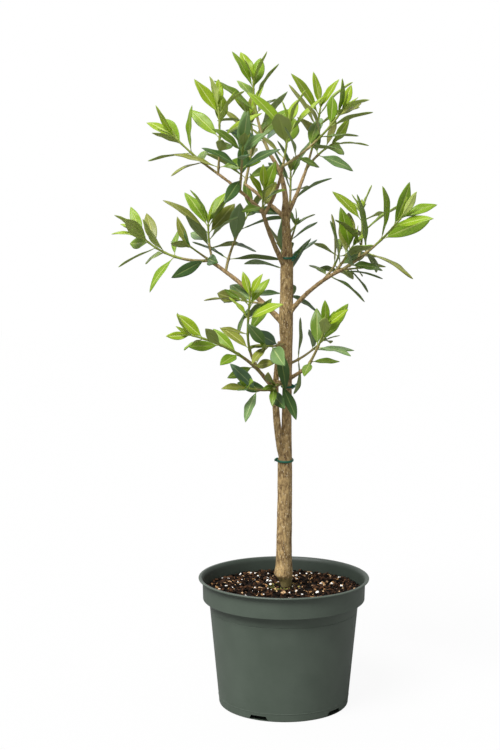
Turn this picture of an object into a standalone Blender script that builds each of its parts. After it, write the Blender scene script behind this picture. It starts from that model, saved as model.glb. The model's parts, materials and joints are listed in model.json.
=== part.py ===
"""Potted olive tree: a nursery pot of soil, a tied double trunk, its boughs and leafy sprays.

Metres, +Z up. The origin is the centre of the pot's flat underside. +X is the viewer's right
and -Y faces the viewer. Every limb is an arc that leaves its parent and turns evenly.
"""

import math
import random
from dataclasses import dataclass, replace
from functools import partial

import bmesh
import bpy
from mathutils import Matrix, Vector
from mathutils.bvhtree import BVHTree

# Clearance between pieces that touch
GAP = 0.0003
UP = Vector((0.0, 0.0, 1.0))

# Pot
POT_HEIGHT = 0.152
LIP_RADIUS = 0.1015
LIP_DEPTH = 0.002
COLLAR_RADIUS = 0.097
COLLAR_FOOT = 0.126
BODY_TOP_RADIUS = 0.089
FOOT_RADIUS = 0.0772
FOOT_EDGE = 0.0014
COLLAR_DRAFT = 0.0008
LIP_ROLL = 0.001
LIP_STEPS = 4
WALL = 0.0015
FLOOR = 0.0025
POT_SIDES = 40
NOTCH_COUNT = 5
NOTCH_WIDTH = 0.022
NOTCH_HEIGHT = 0.0045
NOTCH_DEPTH = 0.010
NOTCH_START = -113.0

# Soil
SOIL_TOP = 0.135
SOIL_MOUND = 0.1387
SOIL_FLAT_RADIUS = 0.013
SOIL_CHAMFER = 0.008

# Trunk: height, offset along X and radius, from the flat cut at the soil to the fork
TRUNK = (
    (0.1390, 0.0022, 0.0060),
    (0.1470, 0.0020, 0.0080),
    (0.1540, -0.0006, 0.0114),
    (0.1590, -0.0005, 0.0111),
    (0.1650, -0.0001, 0.0102),
    (0.1720, 0.0001, 0.0097),
    (0.1960, 0.0004, 0.0092),
    (0.2440, 0.0010, 0.0085),
    (0.2900, 0.0010, 0.0084),
    (0.3030, 0.0021, 0.0072),
    (0.3160, 0.0026, 0.0063),
    (0.3520, 0.0030, 0.0058),
    (0.3870, 0.0035, 0.0058),
    (0.4220, 0.0030, 0.0063),
    (0.4410, 0.0021, 0.0077),
    (0.4600, 0.0019, 0.0080),
    (0.4810, 0.0023, 0.0076),
    (0.5250, 0.0027, 0.0073),
    (0.5390, 0.0032, 0.0062),
    (0.5620, 0.0020, 0.0051),
    (0.5830, 0.0006, 0.0044),
)
TRUNK_SIDES = 12

# Ties: height up the trunk of each flat plastic strap
TIES = {"lower_tie": 0.292, "middle_tie": 0.380, "upper_tie": 0.5305}
TIE_HEIGHT = 0.0024
TIE_THICKNESS = 0.0009
TIE_SIDES = 24

# Limbs and twigs
LIMB_STEPS = 8
LIMB_SIDES = 8
TWIG_SIDES = 5

# Leaves: opening from the twig in degrees and share of full size, oldest pair and youngest
LEAF_OPEN_OLD = 60.0
LEAF_OPEN_YOUNG = 24.0
LEAF_OLD_SIZE = 0.90
LEAF_YOUNG_SIZE = 0.72
LEAF_CROWDING = 1.3
# Share of a twig's length either side of a leaf over which its direction is taken
AIM_STEP = 0.05
# Leaves: how far the seed turns, opens, twists, lengthens, widens and curls each one
LEAF_TURN_SPREAD = 22.0
LEAF_OPEN_SPREAD = 12.0
LEAF_TWIST_SPREAD = 40.0
LEAF_SIZE_RANGE = (0.86, 1.14)
LEAF_WIDTH_RANGE = (0.26, 0.34)
LEAF_CURL_RANGE = (2.0, 30.0)
# Leaves: blade thickness, half width of the stalk, fold along the midrib, and the light they face
LEAF_THICKNESS = 0.0011
LEAF_STALK = 0.0007
LEAF_FOLD = 0.18
LEAF_LIGHT = Vector((0.0, -0.78, 0.62))
LEAF_LIGHT_PULL = 1.1
LEAF_CLEARANCE = 0.0010
# Share of the blade's length and share of its half width at each section of a leaf
LEAF_SECTIONS = ((0.38, 0.92), (0.72, 0.84))
# Turns round the stem, in degrees, that a leaf tries where it would touch something
LEAF_RETRIES = (0.0, 18.0, -18.0, 36.0, -36.0)

# Colours, linear
POT_GREEN = (0.095, 0.125, 0.100)
SOIL_BROWN = (0.045, 0.028, 0.020)
BARK_TAN = (0.330, 0.230, 0.130)
BARK_BROWN = (0.240, 0.160, 0.090)
TIE_GREEN = (0.012, 0.120, 0.070)
LEAF_GREEN = (0.130, 0.260, 0.040)


@dataclass(frozen=True)
class Limb:
    """A tapering arc. Angles in degrees: heading from +X towards +Y, rise above level."""

    name: str
    parent: str
    place: float
    length: float
    heading: float
    rise: float
    veer: float
    lift: float
    foot: float
    tip: float


@dataclass(frozen=True)
class Spray(Limb):
    """A leafy twig: opposite pairs of leaves, each pair turned a right angle from the last."""

    pairs: int
    leaf: float
    first: float
    roll: float
    seed: int
    sag: float


@dataclass(frozen=True)
class Leaf:
    """One leaf: its place on the twig, its turn round it, and its sizes. Age runs 1 to 0."""

    root: Vector
    aim: Vector
    side: Vector
    turn: float
    opening: float
    twist: float
    length: float
    width: float
    curl: float
    sag: float
    age: float


# Boughs: parent, height up the trunk or share of the parent's length, length, heading, rise,
# veer, lift, foot radius and tip radius. Lengths go in steps of 5 mm and angles of 5 degrees
BOUGHS = (
    Limb("second_stem", "trunk", 0.290, 0.145, -145, 70, 20, 35, 0.0050, 0.0027),
    Limb("low_left_bough", "second_stem", 0.60, 0.030, -140, 45, 0, 0, 0.0028, 0.0023),
    Limb("low_right_bough", "second_stem", 0.65, 0.055, -35, 20, -10, 15, 0.0028, 0.0019),
    Limb("mid_left_bough", "trunk", 0.450, 0.125, 160, 45, -5, -15, 0.0034, 0.0022),
    Limb("high_left_bough", "trunk", 0.515, 0.080, -140, 55, 20, 5, 0.0031, 0.0023),
    Limb("high_left_limb", "high_left_bough", 1.0, 0.070, 180, 45, -5, -10, 0.0022, 0.0016),
    Limb("high_cross_bough", "high_left_bough", 0.95, 0.065, -35, 50, -40, 10, 0.0020, 0.0017),
    Limb("crown_left_bough", "trunk", 0.575, 0.090, 125, 30, 5, -5, 0.0026, 0.0019),
    Limb("leader", "trunk", 0.583, 0.070, 130, 95, 25, -45, 0.0034, 0.0022),
    Limb("crown_right_bough", "trunk", 0.575, 0.075, 55, 50, 5, 5, 0.0026, 0.0019),
    Limb("mid_right_bough", "trunk", 0.460, 0.090, -20, 55, 5, -30, 0.0030, 0.0020),
)
# Sprays: as a bough, then pairs of leaves, longest leaf, share where the leaves begin, roll of
# the first pair round the twig, the seed that varies the leaves, counted up the list, and how
# far the oldest ones sag
SPRAYS = (
    Spray("low_left_spray", "low_left_bough", 1.0, 0.105, -130, 40, -35, -25, 0.0021, 0.0011,
          pairs=5, leaf=0.045, first=0.15, roll=0, seed=1, sag=0.2),
    Spray("low_upright_spray", "low_left_bough", 0.95, 0.100, -155, 50, 110, 35, 0.0018, 0.0010,
          pairs=6, leaf=0.045, first=0.15, roll=45, seed=2, sag=0.2),
    Spray("low_hanging_spray", "second_stem", 0.62, 0.050, -125, -5, -5, 20, 0.0018, 0.0011,
          pairs=3, leaf=0.050, first=0.25, roll=0, seed=3, sag=0.2),
    Spray("low_right_spray", "low_right_bough", 1.0, 0.055, -40, 55, -20, 5, 0.0018, 0.0010,
          pairs=4, leaf=0.045, first=0.10, roll=45, seed=4, sag=0.4),
    Spray("low_back_spray", "trunk", 0.405, 0.070, 50, 10, 0, 20, 0.0018, 0.0010,
          pairs=3, leaf=0.055, first=0.30, roll=90, seed=5, sag=0.2),
    Spray("mid_left_spray", "mid_left_bough", 1.0, 0.095, 180, -5, -20, 50, 0.0020, 0.0010,
          pairs=6, leaf=0.055, first=0.45, roll=0, seed=6, sag=0.0),
    Spray("mid_left_low_spray", "mid_left_bough", 0.90, 0.045, -140, 30, 0, 0, 0.0016, 0.0010,
          pairs=2, leaf=0.060, first=0.40, roll=0, seed=7, sag=0.6),
    Spray("mid_left_upright_spray", "mid_left_bough", 0.95, 0.050, 130, 60, -35, 20, 0.0016, 0.0010,
          pairs=5, leaf=0.065, first=0.40, roll=45, seed=8, sag=0.0),
    Spray("mid_left_back_spray", "mid_left_bough", 0.80, 0.095, 80, 50, -35, 0, 0.0018, 0.0010,
          pairs=5, leaf=0.065, first=0.20, roll=0, seed=9, sag=0.2),
    Spray("high_left_spray", "high_left_limb", 1.0, 0.060, 175, 35, -5, 10, 0.0015, 0.0010,
          pairs=4, leaf=0.055, first=0.30, roll=45, seed=10, sag=0.2),
    Spray("high_upright_spray", "high_left_limb", 0.95, 0.075, -75, 70, 10, 35, 0.0014, 0.0010,
          pairs=6, leaf=0.055, first=0.10, roll=0, seed=11, sag=0.2),
    Spray("high_cross_spray", "high_cross_bough", 1.0, 0.090, -5, 30, -5, 25, 0.0016, 0.0010,
          pairs=6, leaf=0.050, first=0.20, roll=45, seed=12, sag=0.0),
    Spray("high_middle_spray", "high_cross_bough", 0.90, 0.050, 30, 75, 0, 10, 0.0014, 0.0009,
          pairs=4, leaf=0.065, first=0.30, roll=0, seed=13, sag=0.0),
    Spray("high_young_spray", "high_left_bough", 0.95, 0.030, -105, 65, 35, -10, 0.0013, 0.0009,
          pairs=4, leaf=0.040, first=0.30, roll=45, seed=14, sag=0.0),
    Spray("crown_left_spray", "crown_left_bough", 1.0, 0.085, 80, 55, -75, 50, 0.0018, 0.0010,
          pairs=5, leaf=0.060, first=0.10, roll=0, seed=15, sag=0.0),
    Spray("leader_spray", "leader", 1.0, 0.090, 145, 60, 20, 30, 0.0021, 0.0010,
          pairs=6, leaf=0.060, first=0.20, roll=45, seed=16, sag=0.0),
    Spray("crown_right_spray", "crown_right_bough", 1.0, 0.045, 35, 50, -10, -20, 0.0018, 0.0010,
          pairs=3, leaf=0.055, first=0.50, roll=0, seed=17, sag=0.0),
    Spray("mid_right_spray", "mid_right_bough", 1.0, 0.090, -25, 30, 5, 20, 0.0019, 0.0010,
          pairs=5, leaf=0.065, first=0.10, roll=45, seed=18, sag=0.0),
    Spray("mid_right_inner_spray", "mid_right_bough", 0.65, 0.065, 45, 30, 35, 10, 0.0016, 0.0010,
          pairs=4, leaf=0.060, first=0.25, roll=0, seed=19, sag=0.2),
    Spray("mid_right_upright_spray", "mid_right_spray", 0.25, 0.065, 70, 50, 25, 5, 0.0015, 0.0010,
          pairs=4, leaf=0.065, first=0.30, roll=45, seed=20, sag=0.2),
    Spray("mid_right_low_spray", "mid_right_bough", 0.85, 0.065, 65, 10, -5, -10, 0.0016, 0.0010,
          pairs=3, leaf=0.055, first=0.40, roll=0, seed=21, sag=0.2),
    Spray("trunk_spray", "trunk", 0.540, 0.035, 65, 45, 0, 10, 0.0016, 0.0010,
          pairs=2, leaf=0.050, first=0.40, roll=90, seed=22, sag=0.4),
    Spray("back_low_spray", "trunk", 0.470, 0.095, 90, 35, 10, 20, 0.0020, 0.0010,
          pairs=5, leaf=0.065, first=0.30, roll=0, seed=23, sag=0.4),
    Spray("back_high_spray", "trunk", 0.555, 0.090, 80, 45, 10, 25, 0.0020, 0.0010,
          pairs=5, leaf=0.055, first=0.35, roll=45, seed=24, sag=0.2),
    Spray("high_left_low_spray", "high_left_limb", 0.50, 0.075, -85, 35, 0, 5, 0.0015, 0.0010,
          pairs=5, leaf=0.055, first=0.30, roll=90, seed=25, sag=0.0),
    Spray("crown_right_young_spray", "crown_right_bough", 0.95, 0.075, -30, 70, 0, 10, 0.0015, 0.0010,
          pairs=4, leaf=0.060, first=0.50, roll=45, seed=26, sag=0.0),
    Spray("mid_inner_spray", "trunk", 0.475, 0.055, 165, 0, 0, 10, 0.0016, 0.0010,
          pairs=3, leaf=0.060, first=0.35, roll=45, seed=27, sag=0.6),
    Spray("mid_right_front_spray", "mid_right_bough", 0.85, 0.040, -5, 50, 0, 10, 0.0016, 0.0010,
          pairs=4, leaf=0.065, first=0.35, roll=45, seed=28, sag=0.0),
    Spray("low_inner_spray", "trunk", 0.430, 0.045, -120, -5, 0, 10, 0.0016, 0.0010,
          pairs=3, leaf=0.060, first=0.40, roll=90, seed=29, sag=0.6),
    Spray("low_front_spray", "trunk", 0.385, 0.040, -110, 0, 0, 0, 0.0016, 0.0010,
          pairs=2, leaf=0.055, first=0.50, roll=0, seed=30, sag=0.4),
)


def direction(heading: float, rise: float) -> Vector:
    """Unit vector for a heading and a rise in degrees."""
    turn = math.radians(heading)
    climb = math.radians(rise)
    level = math.cos(climb)
    return Vector((math.cos(turn) * level, math.sin(turn) * level, math.sin(climb)))


def along(points: list, share: float) -> Vector:
    """Point at a share, held between 0 and 1, of the way through a list of evenly spaced points."""
    place = min(max(share, 0.0), 1.0) * (len(points) - 1)
    index = min(int(place), len(points) - 2)
    return points[index].lerp(points[index + 1], place - index)


def trunk_point(height: float) -> Vector:
    """Point on the trunk's axis at a height."""
    for (low, low_x, _), (high, high_x, _) in zip(TRUNK, TRUNK[1:]):
        if height <= high:
            share = (height - low) / (high - low)
            return Vector((low_x + share * (high_x - low_x), 0.0, height))
    return Vector((TRUNK[-1][1], 0.0, TRUNK[-1][0]))


def limb_points(limb: Limb, start: Vector, steps: int = LIMB_STEPS) -> list:
    """Points along a limb's arc, whose heading and rise change evenly with length."""
    points = [start.copy()]
    for step in range(steps):
        share = (step + 0.5) / steps
        aim = direction(limb.heading + limb.veer * share, limb.rise + limb.lift * share)
        points.append(points[-1] + aim * (limb.length / steps))
    return points


def all_paths(limbs: tuple) -> dict:
    """Points along every limb, by name, each starting on its parent."""
    paths = {}
    for limb in limbs:
        if limb.parent == "trunk":
            start = trunk_point(limb.place)
        else:
            start = along(paths[limb.parent], limb.place)
        paths[limb.name] = limb_points(limb, start)
    return paths


def across(aim: Vector, near: Vector) -> Vector:
    """Unit vector at right angles to aim, as close to another vector as it can be."""
    side = near - aim * near.dot(aim)
    if side.length < 1e-6:
        side = aim.orthogonal()
    return side.normalized()


def leaf_size(age: float) -> float:
    """Share of the spray's longest leaf: full in the middle, shorter at both ends."""
    end_size = LEAF_YOUNG_SIZE + (LEAF_OLD_SIZE - LEAF_YOUNG_SIZE) * age
    return end_size + (1.0 - end_size) * (1.0 - abs(2.0 * age - 1.0))


def spray_leaves(spray: Spray, points: list) -> list:
    """Leaves of a spray, oldest first, in opposite pairs that close up towards the tip."""
    dice = random.Random(spray.seed)
    leaves = []
    for pair in range(spray.pairs):
        age = 1.0 - pair / max(spray.pairs - 1, 1)
        place = spray.first + (1.0 - spray.first) * (1.0 - age ** LEAF_CROWDING)
        aim = (along(points, place + AIM_STEP) - along(points, place - AIM_STEP)).normalized()
        for half in range(2):
            turn = spray.roll + 90.0 * pair + 180.0 * half
            opening = LEAF_OPEN_YOUNG + (LEAF_OPEN_OLD - LEAF_OPEN_YOUNG) * age
            leaves.append(Leaf(
                root=along(points, place),
                aim=aim,
                side=across(aim, Vector((1.0, 0.0, 0.0))),
                turn=turn + dice.uniform(-LEAF_TURN_SPREAD, LEAF_TURN_SPREAD),
                opening=opening + dice.uniform(-LEAF_OPEN_SPREAD, LEAF_OPEN_SPREAD),
                twist=dice.uniform(-LEAF_TWIST_SPREAD, LEAF_TWIST_SPREAD),
                length=spray.leaf * leaf_size(age) * dice.uniform(*LEAF_SIZE_RANGE),
                width=dice.uniform(*LEAF_WIDTH_RANGE),
                curl=dice.uniform(*LEAF_CURL_RANGE),
                sag=spray.sag * age,
                age=age,
            ))
    return leaves


def leaf_frame(leaf: Leaf) -> tuple:
    """Directions of a leaf at its stalk: along it, across it and out of its upper side."""
    out = Matrix.Rotation(math.radians(leaf.turn), 3, leaf.aim) @ leaf.side
    opening = math.radians(leaf.opening)
    axis = leaf.aim * math.cos(opening) + out * math.sin(opening)
    axis = (axis - UP * leaf.sag).normalized()
    inner = leaf.aim * math.sin(opening) - out * math.cos(opening)
    face = across(axis, inner + LEAF_LIGHT * LEAF_LIGHT_PULL)
    face = Matrix.Rotation(math.radians(leaf.twist), 3, axis) @ face
    return axis, axis.cross(face), face


def leaf_section(leaf: Leaf, share: float) -> tuple:
    """Centre of a leaf at a share of its length, and the direction out of its upper side."""
    axis, _, face = leaf_frame(leaf)
    bend = math.radians(leaf.curl)
    ahead = math.sin(bend * share) / bend
    down = (1.0 - math.cos(bend * share)) / bend
    centre = leaf.root + (axis * ahead - face * down) * leaf.length
    return centre, face * math.cos(bend * share) + axis * math.sin(bend * share)


def leaf_mesh(leaf: Leaf, swell: float = 0.0) -> bmesh.types.BMesh:
    """Closed blade on a stalk, folded along its midrib; swell adds to it on every side."""
    mesh = bmesh.new()
    _, edge, _ = leaf_frame(leaf)
    loops = []
    for share, wide in ((0.0, 0.0), *LEAF_SECTIONS):
        centre, out = leaf_section(leaf, share)
        half = max(leaf.length * leaf.width * 0.5 * wide, LEAF_STALK) + swell
        fold = out * (half * LEAF_FOLD * wide)
        thick = out * (LEAF_THICKNESS * 0.5 + swell)
        left = centre + edge * half + fold
        right = centre - edge * half + fold
        loops.append([mesh.verts.new(corner) for corner in (left, centre + thick, right, centre - thick)])
    tip = mesh.verts.new(leaf_section(leaf, 1.0)[0])
    mesh.faces.new(loops[0])
    for near, far in zip(loops, loops[1:]):
        bridge(mesh, near, far)
    for index in range(4):
        mesh.faces.new((loops[-1][index], loops[-1][(index + 1) % 4], tip))
    bmesh.ops.recalc_face_normals(mesh, faces=mesh.faces)
    return mesh


def bridge(mesh: bmesh.types.BMesh, near: list, far: list) -> None:
    """Band of quads between two loops of as many vertices."""
    count = len(near)
    for index in range(count):
        after = (index + 1) % count
        mesh.faces.new((near[index], near[after], far[after], far[index]))


def tube_mesh(points: list, radii: list, aims: list, sides: int) -> bmesh.types.BMesh:
    """Closed tube through points, with a radius and a direction at each and two flat ends."""
    mesh = bmesh.new()
    loops = []
    near = Vector((1.0, 0.0, 0.0))
    for point, radius, aim in zip(points, radii, aims):
        near = across(aim, near)
        other = aim.cross(near)
        loop = []
        for side in range(sides):
            turn = 2.0 * math.pi * side / sides
            loop.append(mesh.verts.new(point + (near * math.cos(turn) + other * math.sin(turn)) * radius))
        loops.append(loop)
    for low, high in zip(loops, loops[1:]):
        bridge(mesh, low, high)
    mesh.faces.new(loops[0])
    mesh.faces.new(loops[-1])
    bmesh.ops.recalc_face_normals(mesh, faces=mesh.faces)
    return mesh


def limb_tube(limb: Limb, points: list, sides: int, swell: float = 0.0) -> bmesh.types.BMesh:
    """Tube of a limb; swell adds to its radius and past both its ends."""
    last = len(points) - 1
    radii = [limb.foot + (limb.tip - limb.foot) * index / last + swell for index in range(last + 1)]
    points = [point.copy() for point in points]
    points[0] -= (points[1] - points[0]).normalized() * swell
    points[-1] += (points[-1] - points[-2]).normalized() * swell
    aims = []
    for index in range(last + 1):
        step = points[min(index + 1, last)] - points[max(index - 1, 0)]
        aims.append(step.normalized())
    return tube_mesh(points, radii, aims, sides)


def trunk_tube(swell: float = 0.0) -> bmesh.types.BMesh:
    """Tube of the trunk; swell adds to its radius and above its top."""
    points = [Vector((offset, 0.0, height)) for height, offset, _ in TRUNK]
    points[-1].z += swell
    radii = [radius + swell for _, _, radius in TRUNK]
    return tube_mesh(points, radii, [UP] * len(points), TRUNK_SIDES)


def lathe_mesh(profile: list, sides: int) -> bmesh.types.BMesh:
    """Closed solid turned about Z from a profile of (radius, height) that starts and ends on it."""
    mesh = bmesh.new()
    first = mesh.verts.new((0.0, 0.0, profile[0][1]))
    last = mesh.verts.new((0.0, 0.0, profile[-1][1]))
    loops = []
    for radius, height in profile[1:-1]:
        loop = []
        for side in range(sides):
            turn = 2.0 * math.pi * side / sides
            loop.append(mesh.verts.new((radius * math.cos(turn), radius * math.sin(turn), height)))
        loops.append(loop)
    for low, high in zip(loops, loops[1:]):
        bridge(mesh, low, high)
    for side in range(sides):
        after = (side + 1) % sides
        mesh.faces.new((first, loops[0][side], loops[0][after]))
        mesh.faces.new((last, loops[-1][after], loops[-1][side]))
    bmesh.ops.recalc_face_normals(mesh, faces=mesh.faces)
    return mesh


def clear_scene() -> None:
    """Remove every object, so that the script can be run again."""
    for thing in list(bpy.data.objects):
        bpy.data.objects.remove(thing, do_unlink=True)


def paint(name: str, colour: tuple, roughness: float) -> bpy.types.Material:
    """Plain Principled material."""
    material = bpy.data.materials.new(name)
    material.use_nodes = True
    shader = material.node_tree.nodes["Principled BSDF"]
    shader.inputs["Base Color"].default_value = (*colour, 1.0)
    shader.inputs["Roughness"].default_value = roughness
    shader.inputs["Metallic"].default_value = 0.0
    return material


def add_object(name: str, mesh: bmesh.types.BMesh, colour: tuple, roughness: float) -> bpy.types.Object:
    """Object with its own mesh and material."""
    data = bpy.data.meshes.new(name)
    mesh.to_mesh(data)
    mesh.free()
    thing = bpy.data.objects.new(name, data)
    data.materials.append(paint(name, colour, roughness))
    bpy.context.scene.collection.objects.link(thing)
    return thing


def apply_modifiers(thing: bpy.types.Object) -> None:
    """Keep the shape that an object's modifiers give and remove them."""
    graph = bpy.context.evaluated_depsgraph_get()
    shape = bpy.data.meshes.new_from_object(thing.evaluated_get(graph))
    thing.modifiers.clear()
    thing.data = shape


def cut(thing: bpy.types.Object, cutter_mesh: bmesh.types.BMesh) -> None:
    """Take a cutter's shape out of an object and drop any scrap that this leaves loose."""
    cutter = add_object("cutter", cutter_mesh, (1.0, 1.0, 1.0), 1.0)
    cutter.hide_render = True
    cutter.display_type = "WIRE"
    boolean = thing.modifiers.new("cut", "BOOLEAN")
    boolean.operation = "DIFFERENCE"
    boolean.solver = "EXACT"
    boolean.object = cutter
    apply_modifiers(thing)
    bpy.data.objects.remove(cutter, do_unlink=True)
    drop_scraps(thing)


def join(thing: bpy.types.Object, pieces: list) -> None:
    """Fuse pieces into an object by one Boolean union on their collection."""
    group = bpy.data.collections.new(thing.name + "_pieces")
    bpy.context.scene.collection.children.link(group)
    for piece in pieces:
        bpy.context.scene.collection.objects.unlink(piece)
        group.objects.link(piece)
    boolean = thing.modifiers.new("join", "BOOLEAN")
    boolean.operation = "UNION"
    boolean.solver = "EXACT"
    boolean.operand_type = "COLLECTION"
    boolean.collection = group
    apply_modifiers(thing)
    for piece in pieces:
        bpy.data.objects.remove(piece, do_unlink=True)
    bpy.data.collections.remove(group)
    drop_scraps(thing)


def drop_scraps(thing: bpy.types.Object) -> None:
    """Keep only the largest connected piece of an object's mesh."""
    mesh = bmesh.new()
    mesh.from_mesh(thing.data)
    left = set(mesh.verts)
    islands = []
    while left:
        edge = [left.pop()]
        island = set(edge)
        while edge:
            vert = edge.pop()
            for link in vert.link_edges:
                other = link.other_vert(vert)
                if other in left:
                    left.remove(other)
                    island.add(other)
                    edge.append(other)
        islands.append(island)
    islands.sort(key=len)
    scraps = [vert for island in islands[:-1] for vert in island]
    bmesh.ops.delete(mesh, geom=scraps, context="VERTS")
    mesh.to_mesh(thing.data)
    mesh.free()


def tree_of(mesh: bmesh.types.BMesh) -> BVHTree:
    """Search tree of a mesh, which is then freed."""
    tree = BVHTree.FromBMesh(mesh)
    mesh.free()
    return tree


def clear_leaves(leaves: list, taken: list) -> list:
    """Leaves that fit, each turned round its twig where it would touch something, or skipped."""
    kept = []
    for leaf in leaves:
        for extra in LEAF_RETRIES:
            turned = replace(leaf, turn=leaf.turn + extra)
            blade = tree_of(leaf_mesh(turned, LEAF_CLEARANCE))
            if not any(blade.overlap(other) for other in taken):
                kept.append(turned)
                break
    return kept


def pot_profile() -> list:
    """Pot's section: up the outside from the foot, over the rolled lip and down the inside."""
    lip_foot = POT_HEIGHT - LIP_DEPTH
    outside = [
        (0.0, 0.0),
        (FOOT_RADIUS - FOOT_EDGE, 0.0),
        (FOOT_RADIUS, FOOT_EDGE),
        (BODY_TOP_RADIUS, COLLAR_FOOT),
        (COLLAR_RADIUS - COLLAR_DRAFT, COLLAR_FOOT),
    ]
    lip = [(COLLAR_RADIUS, lip_foot)]
    for step in range(LIP_STEPS + 1):
        turn = math.pi * step / LIP_STEPS
        lip.append((
            LIP_RADIUS - LIP_ROLL + LIP_ROLL * math.sin(turn),
            POT_HEIGHT - LIP_DEPTH * 0.5 - LIP_DEPTH * 0.5 * math.cos(turn),
        ))
    inside = [
        (COLLAR_RADIUS - WALL, lip_foot),
        (COLLAR_RADIUS - COLLAR_DRAFT - WALL, COLLAR_FOOT + WALL),
        (BODY_TOP_RADIUS - WALL, COLLAR_FOOT + WALL),
        (FOOT_RADIUS - WALL, FLOOR),
        (0.0, FLOOR),
    ]
    return outside + lip + inside


def make_pot() -> bpy.types.Object:
    """Pot with drainage notches cut through the corner of its foot."""
    pot = add_object("pot", lathe_mesh(pot_profile(), POT_SIDES), POT_GREEN, 0.5)
    for index in range(NOTCH_COUNT):
        heading = math.radians(NOTCH_START + index * 360.0 / NOTCH_COUNT)
        box = bmesh.new()
        bmesh.ops.create_cube(box, size=1.0)
        bmesh.ops.scale(box, verts=box.verts, vec=(NOTCH_DEPTH, NOTCH_WIDTH, NOTCH_HEIGHT * 2.0))
        bmesh.ops.translate(box, verts=box.verts, vec=(FOOT_RADIUS, 0.0, 0.0))
        bmesh.ops.rotate(box, verts=box.verts, cent=(0, 0, 0), matrix=Matrix.Rotation(heading, 3, "Z"))
        cut(pot, box)
    return pot


def make_soil() -> bpy.types.Object:
    """Soil that fills the pot, clear of its wall, with a low mound round the trunk."""
    body_foot = FOOT_RADIUS - WALL - GAP
    body_top = BODY_TOP_RADIUS - WALL - GAP
    collar = COLLAR_RADIUS - COLLAR_DRAFT - WALL - GAP
    profile = [
        (0.0, FLOOR + GAP),
        (body_foot - SOIL_CHAMFER, FLOOR + GAP),
        (body_foot, FLOOR + SOIL_CHAMFER),
        (body_top, COLLAR_FOOT + WALL + GAP),
        (collar, COLLAR_FOOT + WALL + GAP),
        (collar, SOIL_TOP),
        (collar * 0.55, SOIL_TOP + (SOIL_MOUND - SOIL_TOP) * 0.35),
        (SOIL_FLAT_RADIUS, SOIL_MOUND),
        (0.0, SOIL_MOUND),
    ]
    return add_object("soil", lathe_mesh(profile, POT_SIDES), SOIL_BROWN, 0.95)


def make_tie(name: str, height: float) -> bpy.types.Object:
    """Flat strap round the trunk at a height."""
    centre = trunk_point(height)
    inner = trunk_radius(height) + GAP
    mesh = bmesh.new()
    loops = []
    outer = inner + TIE_THICKNESS
    for radius, rise in ((inner, -0.5), (inner, 0.5), (outer, 0.5), (outer, -0.5)):
        loop = []
        for side in range(TIE_SIDES):
            turn = 2.0 * math.pi * side / TIE_SIDES
            offset = Vector((math.cos(turn), math.sin(turn), 0.0)) * radius
            loop.append(mesh.verts.new(centre + offset + UP * (rise * TIE_HEIGHT)))
        loops.append(loop)
    for near, far in zip(loops, loops[1:] + loops[:1]):
        bridge(mesh, near, far)
    bmesh.ops.recalc_face_normals(mesh, faces=mesh.faces)
    return add_object(name, mesh, TIE_GREEN, 0.4)


def trunk_radius(height: float) -> float:
    """Largest radius of the trunk over the height of a tie."""
    widest = 0.0
    for level in (height - TIE_HEIGHT * 0.5, height + TIE_HEIGHT * 0.5):
        for (low, _, low_radius), (high, _, high_radius) in zip(TRUNK, TRUNK[1:]):
            if low <= level <= high:
                share = (level - low) / (high - low)
                widest = max(widest, low_radius + share * (high_radius - low_radius))
    return widest


def make_limbs(paths: dict) -> dict:
    """Trunk, boughs and twigs, each cut clear of the earlier ones that it meets."""
    limbs = {"trunk": add_object("trunk", trunk_tube(), BARK_TAN, 0.8)}
    cutters = {"trunk": partial(trunk_tube, GAP)}
    for limb in BOUGHS + SPRAYS:
        sides = TWIG_SIDES if isinstance(limb, Spray) else LIMB_SIDES
        points = paths[limb.name]
        colour = LEAF_GREEN if isinstance(limb, Spray) else BARK_BROWN
        thing = add_object(limb.name, limb_tube(limb, points, sides), colour, 0.7)
        own = tree_of(limb_tube(limb, points, sides))
        for cutter in cutters.values():
            if own.overlap(tree_of(cutter())):
                cut(thing, cutter())
        cutters[limb.name] = partial(limb_tube, limb, points, sides, GAP)
        limbs[limb.name] = thing
    return limbs


def tree_of_object(thing: bpy.types.Object) -> BVHTree:
    """Search tree of an object's mesh."""
    mesh = bmesh.new()
    mesh.from_mesh(thing.data)
    return tree_of(mesh)


def add_leaves(limbs: dict, paths: dict, others: list) -> None:
    """Fuse each spray's leaves to its twig, clear of every other limb and spray."""
    stems = {name: tree_of_object(thing) for name, thing in limbs.items()}
    taken = [tree_of_object(thing) for thing in others]
    for spray in SPRAYS:
        obstacles = taken + [tree for name, tree in stems.items() if name != spray.name]
        leaves = clear_leaves(spray_leaves(spray, paths[spray.name]), obstacles)
        pieces = [add_object("leaf", leaf_mesh(leaf), LEAF_GREEN, 0.5) for leaf in leaves]
        taken.extend(tree_of_object(piece) for piece in pieces)
        join(limbs[spray.name], pieces)


def main() -> None:
    """Build the whole plant."""
    clear_scene()
    paths = all_paths(BOUGHS + SPRAYS)
    limbs = make_limbs(paths)
    pot = make_pot()
    soil = make_soil()
    ties = [make_tie(name, height) for name, height in TIES.items()]
    for tie in ties:
        for limb in BOUGHS:
            swollen = tree_of(limb_tube(limb, paths[limb.name], LIMB_SIDES, GAP))
            if tree_of_object(tie).overlap(swollen):
                cut(tie, limb_tube(limb, paths[limb.name], LIMB_SIDES, GAP))
    add_leaves(limbs, paths, [pot, soil, *ties])


if __name__ == "__main__":
    main()
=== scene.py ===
"""Studio scene of a potted olive tree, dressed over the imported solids.

The growth rule repeats the one that made the solids: every limb is an arc that leaves its
parent and turns evenly, and every spray bears opposite pairs of leaves that its seed varies.
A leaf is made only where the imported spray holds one. Lengths are metres, +Z is up, +X is the
viewer's right and -Y faces the viewer.
"""

import json
import logging
import math
import random
from dataclasses import dataclass, field, replace
from enum import Enum

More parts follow.
